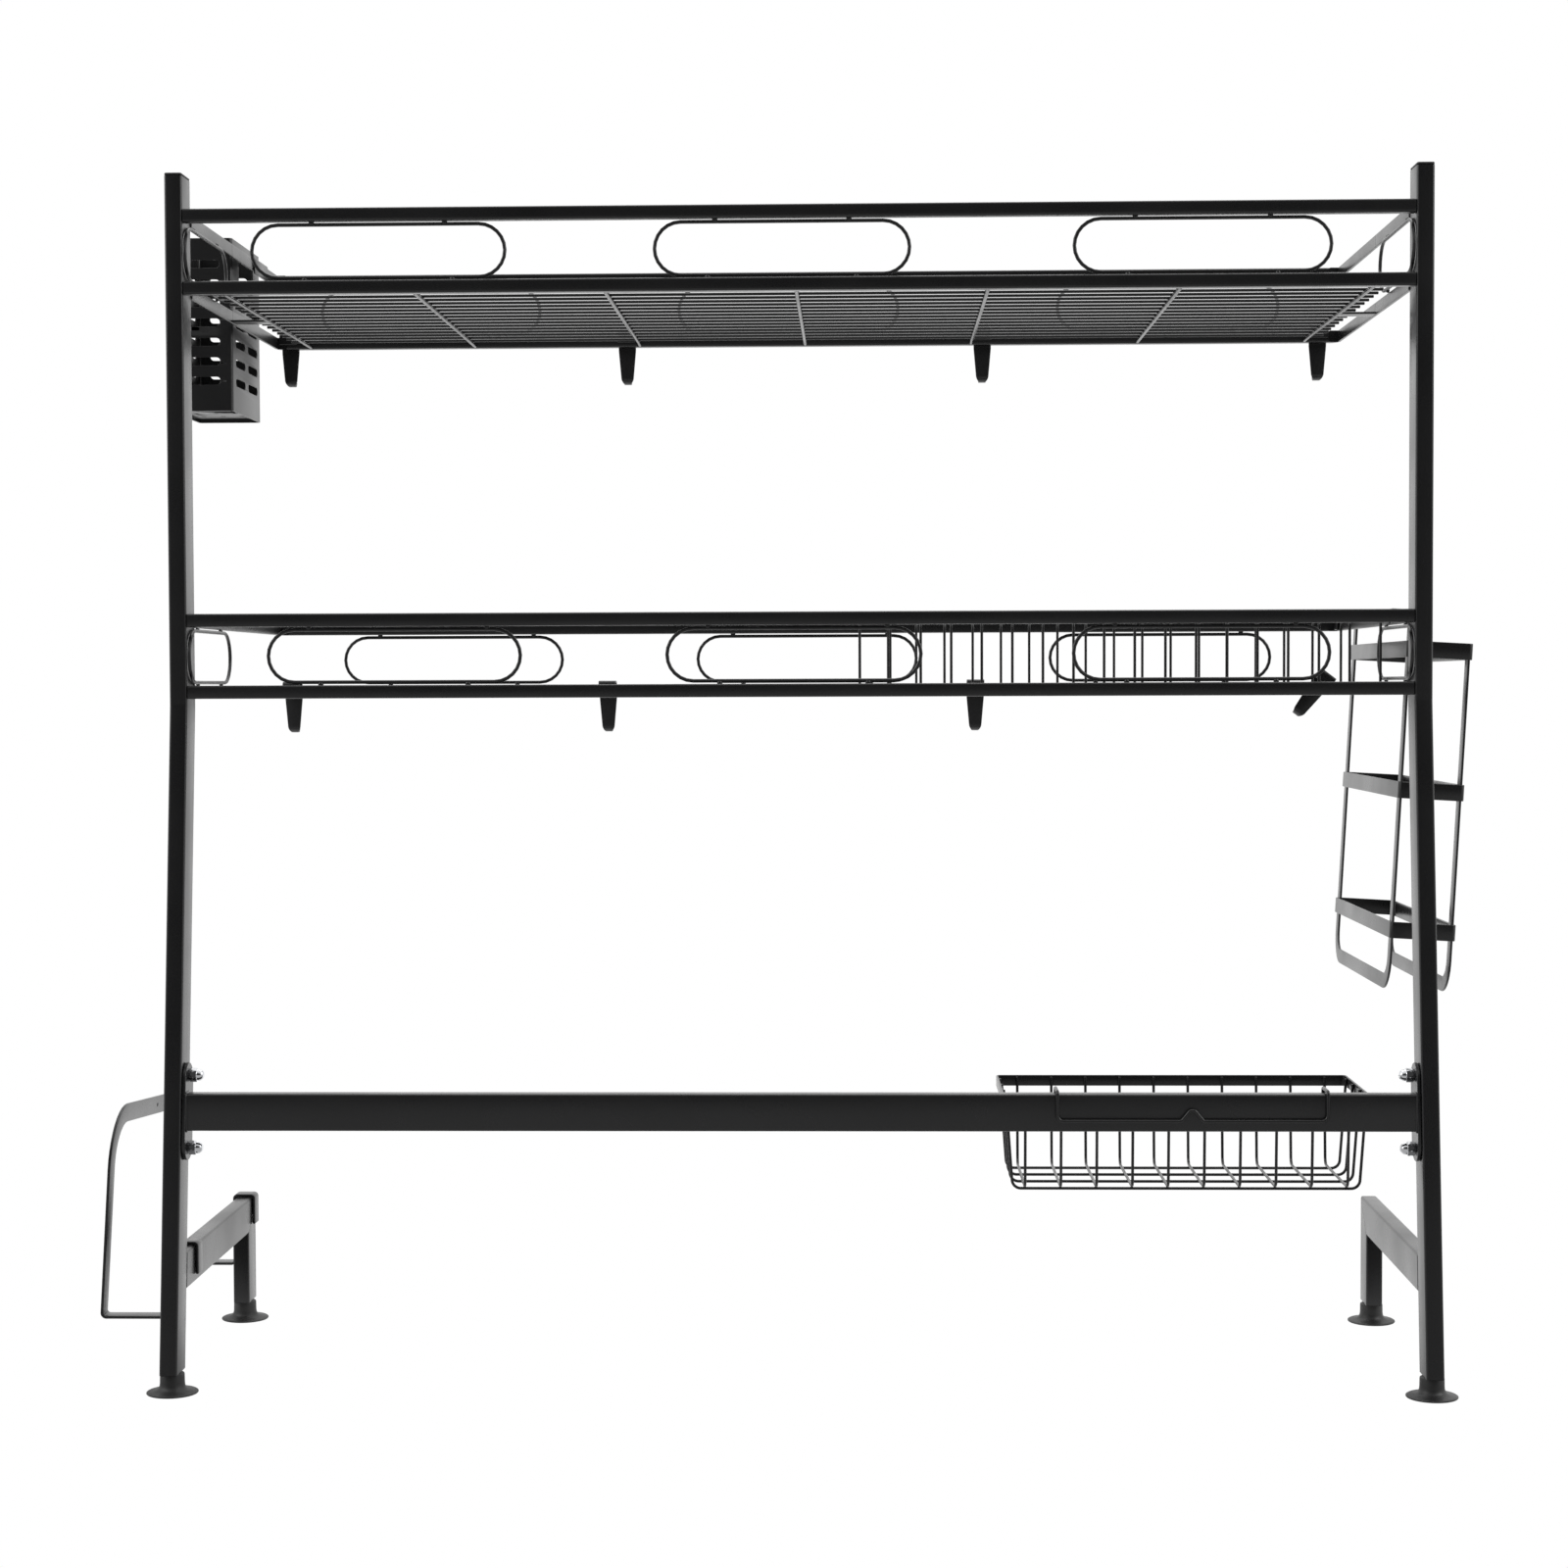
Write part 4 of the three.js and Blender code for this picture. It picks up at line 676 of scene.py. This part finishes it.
def hook_shape():
    """One hook, with the middle of its tube as the origin."""
    half = HOOK_SHEET / 2
    rear, front = -RAIL / 2 - GAP - half, RAIL / 2 + GAP + half
    roof, tip, end = RAIL / 2 + HOOK_ROOM + half, HOOK_LOW + half, HOOK_LOW + HOOK_RISE
    taper = -RAIL / 2 - 2
    line = bent([(0, rear, HOOK_TONGUE - RAIL / 2), (0, rear, roof), (0, front, roof),
                 (0, front, tip), (0, front + HOOK_REACH, tip), (0, front + HOOK_REACH, end)],
                [1.9, 1.9, 3.6, 3.6], 7)

    def across(point):
        wide = HOOK_WIDE
        if point.y > front - 0.01 and point.z < taper:
            share = min(1, (taper - point.z) / (taper - HOOK_LOW - HOOK_SHEET))
            wide = HOOK_WIDE + (HOOK_TIP - HOOK_WIDE) * share
            rise = point.z - HOOK_LOW
            if rise < HOOK_ROUND:
                wide -= 2 * (HOOK_ROUND - math.sqrt(HOOK_ROUND ** 2 - (HOOK_ROUND - rise) ** 2))
        if point.y > front + HOOK_REACH - 3:
            left = min(max(end - point.z, 0) + 0.3, HOOK_CURL / 2)
            wide = 2 * math.sqrt((HOOK_CURL / 2) ** 2 - (HOOK_CURL / 2 - left) ** 2)
        return rounded_bar(wide, HOOK_SHEET, 0.45, 3)
    bm = bmesh.new()
    drawn(bm, spaced(line, 1.0), across, X, ease=0.3)
    return bm


HOOK_SPOTS = {"top": (TOP_SHELF, (-405, -139.7, 138.1, 398.8)),
              "middle": (MIDDLE_SHELF, (-405.2, -156.2, 132.3, 403))}
for row, (base, spots) in HOOK_SPOTS.items():
    for k, x in enumerate(spots, 1):
        swung = row == "middle" and k == len(spots)
        lift, swing = (SWUNG_LIFT, SWUNG_TURN) if swung else (0, 0)
        place = Matrix.Translation((x, SHELF_DEEP - RAIL / 2, base + RAIL / 2 + lift))
        finished(f"hook_{row}_{k}", hook_shape(), SHEET_COAT, f"hook_{row}_{k}", "sheet_coat",
                 f"hook_{row}_{k}", place=place @ Matrix.Rotation(swing, 4, "Y"))


# THE CUTLERY BOX
# Punched and folded from 1 mm sheet: rows of round-ended slots in all four walls, drain
# holes in the floor, and a wide tab, cut from the inner wall, that hooks over the top
# shelf's side bar.
def punched(outline, holes, thick, edge):
    """A flat punched sheet about the plane Z = 0, with softened edges."""
    curve = bpy.data.curves.new("sheet", "CURVE")
    curve.dimensions, curve.fill_mode = "2D", "BOTH"
    curve.extrude, curve.bevel_depth, curve.bevel_resolution = thick / 2 - edge, edge, 1
    curve.offset = -edge
    for pairs in (outline, *holes):
        spline = curve.splines.new("POLY")
        spline.points.add(len(pairs) - 1)
        for point, (a, b) in zip(spline.points, pairs):
            point.co = (a, b, 0, 1)
        spline.use_cyclic_u = True
    holder = in_scene("sheet", curve)
    mesh = evaluated(holder)
    bpy.data.objects.remove(holder)
    bm = bmesh.new()
    bm.from_mesh(mesh)
    return bm


def slot_hole(a, b, long, tall, steps=8):
    """Outline of a round-ended slot about a place in the sheet."""
    return [(a + p, b + q) for p, q in oval(long, tall, steps)[1:]]


BOX_WIDE, BOX_DEEP, BOX_TALL, BOX_SHEET = 48, 96, 128, 1
BOX_STANDOFF, BOX_HANG = 10.7, 116.3
BOX_IN = -(POST_INNER + BOX_STANDOFF)
BOX_OUT = BOX_IN - BOX_WIDE
BOX_REAR = 198
BOX_FRONT = BOX_REAR + BOX_DEEP
BOX_BEND, BEND_CUTS, FLOOR_LIFT, FLOOR_ROOM = 2.2, 6, 2.8, 0.8
RAIL_TOP = TOP_SHELF + PANEL_TALL
BOX_FLOOR = RAIL_TOP - BOX_HANG
SLOT_TALL, SLOT_LONG, SLOT_SPREAD, END_SLOT_LONG = 6, 32, 21, 29.4
FIRST_SLOT, SLOT_PITCH, ROWS, ROWS_UNDER_TAB = 22.4, 14.4, 7, 5
SLOT_ROWS = [FIRST_SLOT + SLOT_PITCH * row for row in range(ROWS)]
TAB_SLIT, TAB_CUT, BOX_TAB, BOX_TAB_DROP = 48.6, 24, 46, 12
DRAIN, DRAIN_ACROSS, DRAIN_ALONG = 2.25, 15, 24
middle_x, middle_y = (BOX_IN + BOX_OUT) / 2, (BOX_REAR + BOX_FRONT) / 2
turn = math.pi / 2 * BOX_BEND
straights = [BOX_DEEP - BOX_SHEET - 2 * BOX_BEND, BOX_WIDE - BOX_SHEET - 2 * BOX_BEND] * 2
round_box = sum(straights) + 4 * turn
holes, bends, start = [], [], 0
for wall, straight in enumerate(straights):
    middle = start + straight / 2
    for row, height in enumerate(SLOT_ROWS):
        if wall % 2:
            holes.append(slot_hole(middle, height, END_SLOT_LONG, SLOT_TALL))
        elif wall == 0 or row < ROWS_UNDER_TAB:
            holes += [slot_hole(middle + off, height, SLOT_LONG, SLOT_TALL)
                      for off in (-SLOT_SPREAD, SLOT_SPREAD)]
    if wall == 2:
        top = RAIL_TOP + GAP - BOX_FLOOR
        left, right = middle - TAB_SLIT / 2, middle + TAB_SLIT / 2
        holes.append([(left, top - TAB_CUT), (right, top - TAB_CUT), (right, top), (left, top)])
    bends.append((start, straight))
    start += straight + turn
blank = [(0, 0), (round_box, 0), (round_box, BOX_TALL), (0, BOX_TALL)]
walls = punched(blank, holes, BOX_SHEET, 0.15)
for start, straight in bends:
    for k in range(BEND_CUTS + 1):
        cut = start + straight + turn * k / BEND_CUTS
        geometry = walls.verts[:] + walls.edges[:] + walls.faces[:]
        bmesh.ops.bisect_plane(walls, geom=geometry, plane_co=(cut, 0, 0), plane_no=(1, 0, 0))
half = BOX_SHEET / 2
corners = [Vector((BOX_OUT + half, BOX_REAR + half)), Vector((BOX_OUT + half, BOX_FRONT - half)),
           Vector((BOX_IN - half, BOX_FRONT - half)), Vector((BOX_IN - half, BOX_REAR + half))]
for vert in walls.verts:
    along, height, out = vert.co
    for wall, (start, straight) in enumerate(bends):
        if along <= start + straight + turn + 1e-4:
            break
    here, there = corners[wall], corners[(wall + 1) % 4]
    run = (there - here).normalized()
    outward = Vector((-run.y, run.x))
    past = along - start - straight
    if past <= 0:
        spot = here + run * (BOX_BEND + along - start) + outward * out
    else:
        angle = past / BOX_BEND
        pivot = there - run * BOX_BEND - outward * BOX_BEND
        spot = pivot + (outward * math.cos(angle) + run * math.sin(angle)) * (BOX_BEND + out)
    vert.co = (spot.x, spot.y, BOX_FLOOR + height)
drains = [[(x + DRAIN * math.cos(k * math.pi / 8), y + DRAIN * math.sin(k * math.pi / 8))
           for k in range(16)]
          for x in (-DRAIN_ACROSS, 0, DRAIN_ACROSS) for y in (-DRAIN_ALONG, 0, DRAIN_ALONG)]
floor_plate = punched(rounded_bar(BOX_WIDE - FLOOR_ROOM, BOX_DEEP - FLOOR_ROOM, 2), drains,
                      BOX_SHEET, 0.1)
bmesh.ops.translate(floor_plate, verts=floor_plate.verts,
                    vec=(middle_x, middle_y, BOX_FLOOR + FLOOR_LIFT + half))
walls.from_mesh(as_mesh(floor_plate, "floor"))
roof = RAIL_TOP + GAP + half
tab_end = -(POST_INNER - GAP - half)
tab = bent([(BOX_IN - 0.9, middle_y, roof), (tab_end, middle_y, roof),
            (tab_end, middle_y, roof - BOX_TAB_DROP)], 1.5)
drawn(walls, tab, rounded_bar(BOX_TAB, BOX_SHEET, 0.25, 2), Y, ease=0.15)
finished("cutlery_box", walls, SHEET_COAT, "utensil_box", "sheet_coat", "utensil_box")


# THE BOARD GUARD
# One steel strip, folded over the left arm at both ends and bent on edge into an upright
# hoop that keeps chopping boards from falling outwards.
GUARD_WIDE, GUARD_THICK, GUARD_REAR, GUARD_FRONT = 12.7, 2, 6, 198.2
GUARD_REACH, GUARD_LOW, GUARD_TONGUE = 53, 41, 71
GUARD_TOP, GUARD_FALL, GUARD_LEAN, GUARD_ROUND = 178.65, 15, 0.061, 33.65
GUARD_HOLE, GUARD_HOLE_PLACE = 3, 130.6
guard_in = -(POST_INNER - GAP - GUARD_THICK / 2)
guard_out = -(POST_INNER + TUBE_WIDE + GAP + GUARD_THICK / 2)
guard_roof = ARM_MIDDLE + TUBE_DEEP / 2 + GAP + GUARD_THICK / 2
guard_wall = -(POST_INNER + TUBE_WIDE + GUARD_REACH)
guard_rear, guard_front = GUARD_REAR + GUARD_WIDE / 2, GUARD_FRONT - GUARD_WIDE / 2
fold = [(guard_in, GUARD_TONGUE), (guard_in, guard_roof), (guard_out, guard_roof),
        (guard_out, GUARD_LOW), (guard_wall, GUARD_LOW)]


def guard_top(y):
    """The middle of the hoop's top run, which falls a little towards the user."""
    z = GUARD_TOP - GUARD_FALL * (y - guard_rear) / (guard_front - guard_rear)
    return guard_wall + math.sin(GUARD_LEAN) * (z - GUARD_LOW), y, z


strip = [(x, guard_rear, z) for x, z in fold] + [guard_top(guard_rear), guard_top(guard_front)]
strip += [(x, guard_front, z) for x, z in fold[::-1]]
radii = [2.2, 2.2, 3, 3, GUARD_ROUND]
guard = bmesh.new()
drawn(guard, bent(strip, radii + radii[::-1], 10), rounded_bar(GUARD_THICK, GUARD_WIDE, 0.6, 3), X,
      ease=0.4)
guard = finished("board_guard", guard, TUBE_COAT, "board_guard", "tube_coat", "board_guard")
hole = bmesh.new()
lathe(hole, [(0, 0), (GUARD_HOLE / 2, 0), (GUARD_HOLE / 2, 20), (0, 20)],
      Vector(guard_top(GUARD_HOLE_PLACE)) - 10 * X, X, 20)
cut_out(guard, hole)


# THE LID HOLDER
# Three bands of flat bar, welded round two straps bent on edge into a U. The inner strap's
# ends are folded into hooks over the middle shelf's right side bar.
HOLDER_LEAN = 0.0565
HOLDER_PLACE = Matrix.Translation((POST_INNER + RAIL / 2, 0, MIDDLE_SHELF + PANEL_TALL))
HOLDER_WIDE, HOLDER_IN, HOLDER_REAR, HOLDER_FRONT, HOLDER_DEEP = 46, 6.6, 78, 308, 265
BAND_THICK, BAND_TALL, BAND_DROPS = 1.6, 11.5, (25.3, 123.8, 221.8)
STRAP_WIDE, STRAP_ROUND, STRAP_TOP, TONGUE_END = 10.5, 18.75, -22, -8.6
WELD_SINK, ROOF_ROOM, TONGUE_ROOM = 0.1, 0.6, 0.9
band_in, band_out = HOLDER_IN + BAND_THICK / 2, HOLDER_IN + HOLDER_WIDE - BAND_THICK / 2
band_rear, band_front = HOLDER_REAR + BAND_THICK / 2, HOLDER_FRONT - BAND_THICK / 2
middle = (band_in + band_out) / 2
holder = bmesh.new()
for drop in BAND_DROPS:
    line = bent([(middle, band_rear, -drop), (band_out, band_rear, -drop),
                 (band_out, band_front, -drop), (band_in, band_front, -drop),
                 (band_in, band_rear, -drop), (middle, band_rear, -drop)], 2.2, 6)[:-1]
    drawn(holder, line, rounded_bar(BAND_THICK, BAND_TALL, 0.55, 3), Y, closed=True)
strap_rear = band_rear + BAND_THICK / 2 + GAP + STRAP_WIDE / 2
strap_front = band_front - BAND_THICK / 2 - GAP - STRAP_WIDE / 2
inner_x, outer_x = band_in + BAND_THICK - WELD_SINK, band_out - BAND_THICK + WELD_SINK
strap_low, strap_roof = STRAP_WIDE / 2 - HOLDER_DEEP, ROOF_ROOM + BAND_THICK / 2
tongue_x = -(RAIL / 2 + TONGUE_ROOM + BAND_THICK / 2)
inner_fold = [(tongue_x, TONGUE_END), (tongue_x, strap_roof), (inner_x, strap_roof),
              (inner_x, strap_low)]
for fold, radii in ((inner_fold, [2, 2, STRAP_ROUND]),
                    ([(outer_x, STRAP_TOP), (outer_x, strap_low)], [STRAP_ROUND])):
    strip = [(x, strap_rear, z) for x, z in fold] + [(x, strap_front, z) for x, z in fold[::-1]]
    drawn(holder, bent(strip, radii + radii[::-1], 10),
          rounded_bar(BAND_THICK, STRAP_WIDE, 0.55, 3), X, ease=0.3)
finished("lid_holder", holder, TUBE_COAT, "lid_holder", "tube_coat", "lid_holder",
         place=HOLDER_PLACE @ Matrix.Rotation(HOLDER_LEAN, 4, "Y"))


# THE SPONGE BASKET AND ITS HANGER
# A band of flat bar forms the rim. Ten wires bent to a U are welded inside it, four long
# wires lie under them and turn up at the ends, and a bent wire hangs it on the crossbar.
BASKET_WIRE, BASKET_DEEP, BASKET_STANDOFF = 2, 105, 1.8
CROSS_WIRES, CROSS_FIRST, CROSS_PITCH, CROSS_FLOOR = 10, 14.9, 24, 133.8
LONG_WIRES, LONG_FIRST, LONG_FLOOR = 4, 10, 132
RIM_TOP, RIM_TALL, RIM_THICK = 196, 7.6, 1.4
WIRE_INSET, WIRE_ROUND, CROSS_SLOPE, LONG_SLOPE = 2.2, 6, 4, 4.6
basket_left, basket_right = 137.5, 384
bar_corner = on_post(TUBE_DEEP / 2)
basket_rear = bar_corner.y + INTO_RACK.y * TUBE_WIDE / 2 + BASKET_STANDOFF
basket_front = basket_rear + BASKET_DEEP
inset, rim_z = RIM_THICK / 2, RIM_TOP - RIM_TALL / 2
rim_left, rim_right = basket_left + inset, basket_right - inset
rim_rear, rim_front = basket_rear + inset, basket_front - inset
middle = (basket_left + basket_right) / 2
basket = bmesh.new()
line = [(middle, rim_rear, rim_z), (rim_right, rim_rear, rim_z), (rim_right, rim_front, rim_z),
        (rim_left, rim_front, rim_z), (rim_left, rim_rear, rim_z), (middle, rim_rear, rim_z)]
drawn(basket, bent(line, 2.6, 6)[:-1], rounded_bar(RIM_THICK, RIM_TALL, 0.5, 3), Y, closed=True)
rear, front, wire_top = basket_rear + WIRE_INSET, basket_front - WIRE_INSET, RIM_TOP - 1
left, right = basket_left + WIRE_INSET, basket_right - WIRE_INSET
for k in range(CROSS_WIRES):
    x = basket_left + CROSS_FIRST + CROSS_PITCH * k
    line = bent([(x, rear, wire_top), (x, rear + CROSS_SLOPE, CROSS_FLOOR),
                 (x, front - CROSS_SLOPE, CROSS_FLOOR), (x, front, wire_top)], WIRE_ROUND, 8)
    drawn(basket, line, round_bar(BASKET_WIRE), X, ease=0.3)
for k in range(LONG_WIRES):
    y = rear + LONG_FIRST + k * (front - rear - 2 * LONG_FIRST) / (LONG_WIRES - 1)
    line = bent([(left, y, wire_top), (left + LONG_SLOPE, y, LONG_FLOOR),
                 (right - LONG_SLOPE, y, LONG_FLOOR), (right, y, wire_top)], WIRE_ROUND, 8)
    drawn(basket, line, round_bar(BASKET_WIRE), Y, ease=0.3)
finished("sponge_basket", basket, WIRE_COAT_AND_PAINTED_SHADE, "sponge_basket", "wire_coat", "sponge_basket")

HANGER_WIRE, HANGER_LOW, HANGER_PEAK, HANGER_LEG_END = 2.4, 182, 189, 188.4
HANGER_LEFT, HANGER_RIGHT, NOTCH_FOOT, NOTCH_TOP = 35, 213.7, 7.35, 1.6
HANGER_ROOM, HANGER_OFFSET = 0.4, 1.6
leg_y = basket_rear + RIM_THICK + HANGER_ROOM + HANGER_WIRE / 2
hang_y = post_rear(HANGER_LOW) + HANGER_OFFSET - HANGER_WIRE / 2
hang_top = bar_corner.z + UP_POST.y * TUBE_WIDE / 2 + GAP + HANGER_WIRE / 2
left, right = basket_left + HANGER_LEFT, basket_left + HANGER_RIGHT
middle = (left + right) / 2
line = [(left, leg_y, HANGER_LEG_END), (left, leg_y, hang_top), (left, hang_y, hang_top),
        (left, hang_y, HANGER_LOW), (middle - NOTCH_FOOT, hang_y, HANGER_LOW),
        (middle - NOTCH_TOP, hang_y, HANGER_PEAK)]
line += [(2 * middle - x, y, z) for x, y, z in line[::-1]]
radii = [2, 2, 4, 2, 1.8]
hanger = bmesh.new()
drawn(hanger, bent(line, radii + radii[::-1], 6), round_bar(HANGER_WIRE, 14), X, ease=0.3)
# The hanger's darker wire coat stands in as painted shade where it lies against the crossbar.
finished("basket_hanger", hanger, WIRE_COAT_AND_PAINTED_SHADE, "sponge_basket", "wire_coat", "basket_hanger")


# THE PLATE DIVIDER
# Eighteen hoops of 2 mm wire stand across the middle shelf, welded to two rods that lie on
# the grid. It lifts out.
DIVIDER_WIRE, HOOP_TALL, HOOP_OVERHANG, HOOP_ROUND = 2, 52, 1.8, 8
HOOPS, FIRST_HOOP, HOOP_PITCH = 18, 42, 21.5
DIVIDER_LEFT, DIVIDER_RIGHT = 40, 408.5
divider_floor = MIDDLE_SHELF + ROD + WIRE + GAP
rod_rear, rod_front = wire_place(4), wire_place(13)
rear, front = rod_rear - HOOP_OVERHANG, rod_front + HOOP_OVERHANG
top = divider_floor + HOOP_TALL - DIVIDER_WIRE / 2
divider = bmesh.new()
for k in range(HOOPS):
    x = FIRST_HOOP + HOOP_PITCH * k
    line = [(x, rear, divider_floor), (x, rear, top), (x, front, top), (x, front, divider_floor)]
    drawn(divider, bent(line, HOOP_ROUND, 8), round_bar(DIVIDER_WIRE), X, ease=0.3)
rod_z = divider_floor + DIVIDER_WIRE / 2
for y in (rod_rear, rod_front):
    drawn(divider, [(DIVIDER_LEFT, y, rod_z), (DIVIDER_RIGHT, y, rod_z)], round_bar(DIVIDER_WIRE),
          Y, ease=0.3)
finished("plate_divider", divider, WIRE_COAT_AND_PAINTED_SHADE, "plate_divider", "wire_coat", "plate_divider")


# THE STUDIO
# A white floor that runs into white walls, soft lamps on both sides and overhead, and the
# camera behind the rack at the height of its middle shelf. Reflections find the room dark
# behind the camera, the floor on that side dimmer, and the far wall a little brighter.
DARK_ROOM, NEAR_FLOOR, FAR_WALL = 0.05, 0.5, 1.15
ROOM_FILL = 0.5


def seen_white(tree):
    """A mask of the rays that see the studio as plain white, and all the kinds of ray."""
    rays = tree.nodes.new("ShaderNodeLightPath").outputs
    return maths(tree, "MAXIMUM", rays["Is Camera Ray"], rays["Is Transmission Ray"]), rays


def along_room(tree, place, span, levels):
    """A level that rises along Y, for the light that reflections find in the room."""
    split = tree.nodes.new("ShaderNodeSeparateXYZ")
    tree.links.new(place, split.inputs["Vector"])
    return ranged(tree, split.outputs["Y"], span, levels)


paper = bpy.data.materials.new("studio_paper")
paper.use_nodes = True
tree = paper.node_tree
shader = tree.nodes["Principled BSDF"]
shader.inputs["Base Color"].default_value = (0.8, 0.8, 0.8, 1)
shader.inputs["Roughness"].default_value = 0.9
seen, rays = seen_white(tree)
position = tree.nodes.new("ShaderNodeNewGeometry").outputs["Position"]
found = along_room(tree, position, (-0.15, 0.06), (NEAR_FLOOR, FAR_WALL))
mirrored = maths(tree, "MULTIPLY", rays["Is Glossy Ray"], found)
glow, mix = tree.nodes.new("ShaderNodeEmission"), tree.nodes.new("ShaderNodeMixShader")
tree.links.new(maths(tree, "MAXIMUM", seen, mirrored), glow.inputs["Strength"])
tree.links.new(maths(tree, "MAXIMUM", seen, rays["Is Glossy Ray"]), mix.inputs["Fac"])
tree.links.new(shader.outputs["BSDF"], mix.inputs[1])
tree.links.new(glow.outputs["Emission"], mix.inputs[2])
tree.links.new(mix.outputs["Shader"], tree.nodes["Material Output"].inputs["Surface"])
floor = bmesh.new()
bmesh.ops.create_grid(floor, x_segments=1, y_segments=1, size=6)
floor = in_scene("studio_floor", as_mesh(floor, "studio_floor"))
floor.data.materials.append(paper)
floor.location.z = -0.0005

world = bpy.data.worlds.new("studio_world")
world.use_nodes = True
bpy.context.scene.world = world
tree = world.node_tree
background = tree.nodes["Background"]
background.inputs["Color"].default_value = (1, 1, 1, 1)
seen, rays = seen_white(tree)
toward = tree.nodes.new("ShaderNodeTexCoord").outputs["Generated"]
behind = along_room(tree, toward, (-0.85, -0.45), (DARK_ROOM, 1))
beyond = along_room(tree, toward, (0.2, 0.95), (1, FAR_WALL))
mirrored = maths(tree, "MULTIPLY", rays["Is Glossy Ray"], maths(tree, "MULTIPLY", behind, beyond))
fill = maths(tree, "MULTIPLY", rays["Is Diffuse Ray"], ROOM_FILL)
light = maths(tree, "MAXIMUM", maths(tree, "MAXIMUM", seen, mirrored), fill)
tree.links.new(light, background.inputs["Strength"])

for name, place, aim, size, power in (
        ("lamp_left", (-1.9, -0.6, 1.5), (0, 0, 0.45), 1.2, 16),
        ("lamp_right", (1.9, -0.6, 1.5), (0, 0, 0.45), 1.2, 16),
        ("lamp_top", (0, 0.6, 2.2), (0, 0, 0.4), 1.6, 18)):
    lamp = bpy.data.lights.new(name, "AREA")
    lamp.size, lamp.energy = size, power
    holder = in_scene(name, lamp)
    holder.location = place
    holder.rotation_euler = (Vector(aim) - Vector(place)).to_track_quat("-Z", "Y").to_euler()

CAMERA_PLACE = Vector((0.04379, -1.8948, 0.4715))
YAW, PITCH, ROLL = 0.02791, 0.03484, -0.00358
lens = bpy.data.cameras.new("camera")
lens.sensor_width, lens.lens = 36, 64.674
camera = in_scene("camera", lens)
ahead = Vector((-math.sin(YAW) * math.cos(PITCH), math.cos(YAW) * math.cos(PITCH),
                -math.sin(PITCH)))
right = Vector((math.cos(YAW), math.sin(YAW), 0))
above = right.cross(ahead)
right, above = (right * math.cos(ROLL) + above * math.sin(ROLL),
                above * math.cos(ROLL) - right * math.sin(ROLL))
turned = Matrix((right, above, -ahead)).transposed().to_4x4()
camera.matrix_world = Matrix.Translation(RACK_ZERO + CAMERA_PLACE) @ turned
bpy.context.scene.camera = camera
bpy.context.scene.view_settings.view_transform = "Standard"
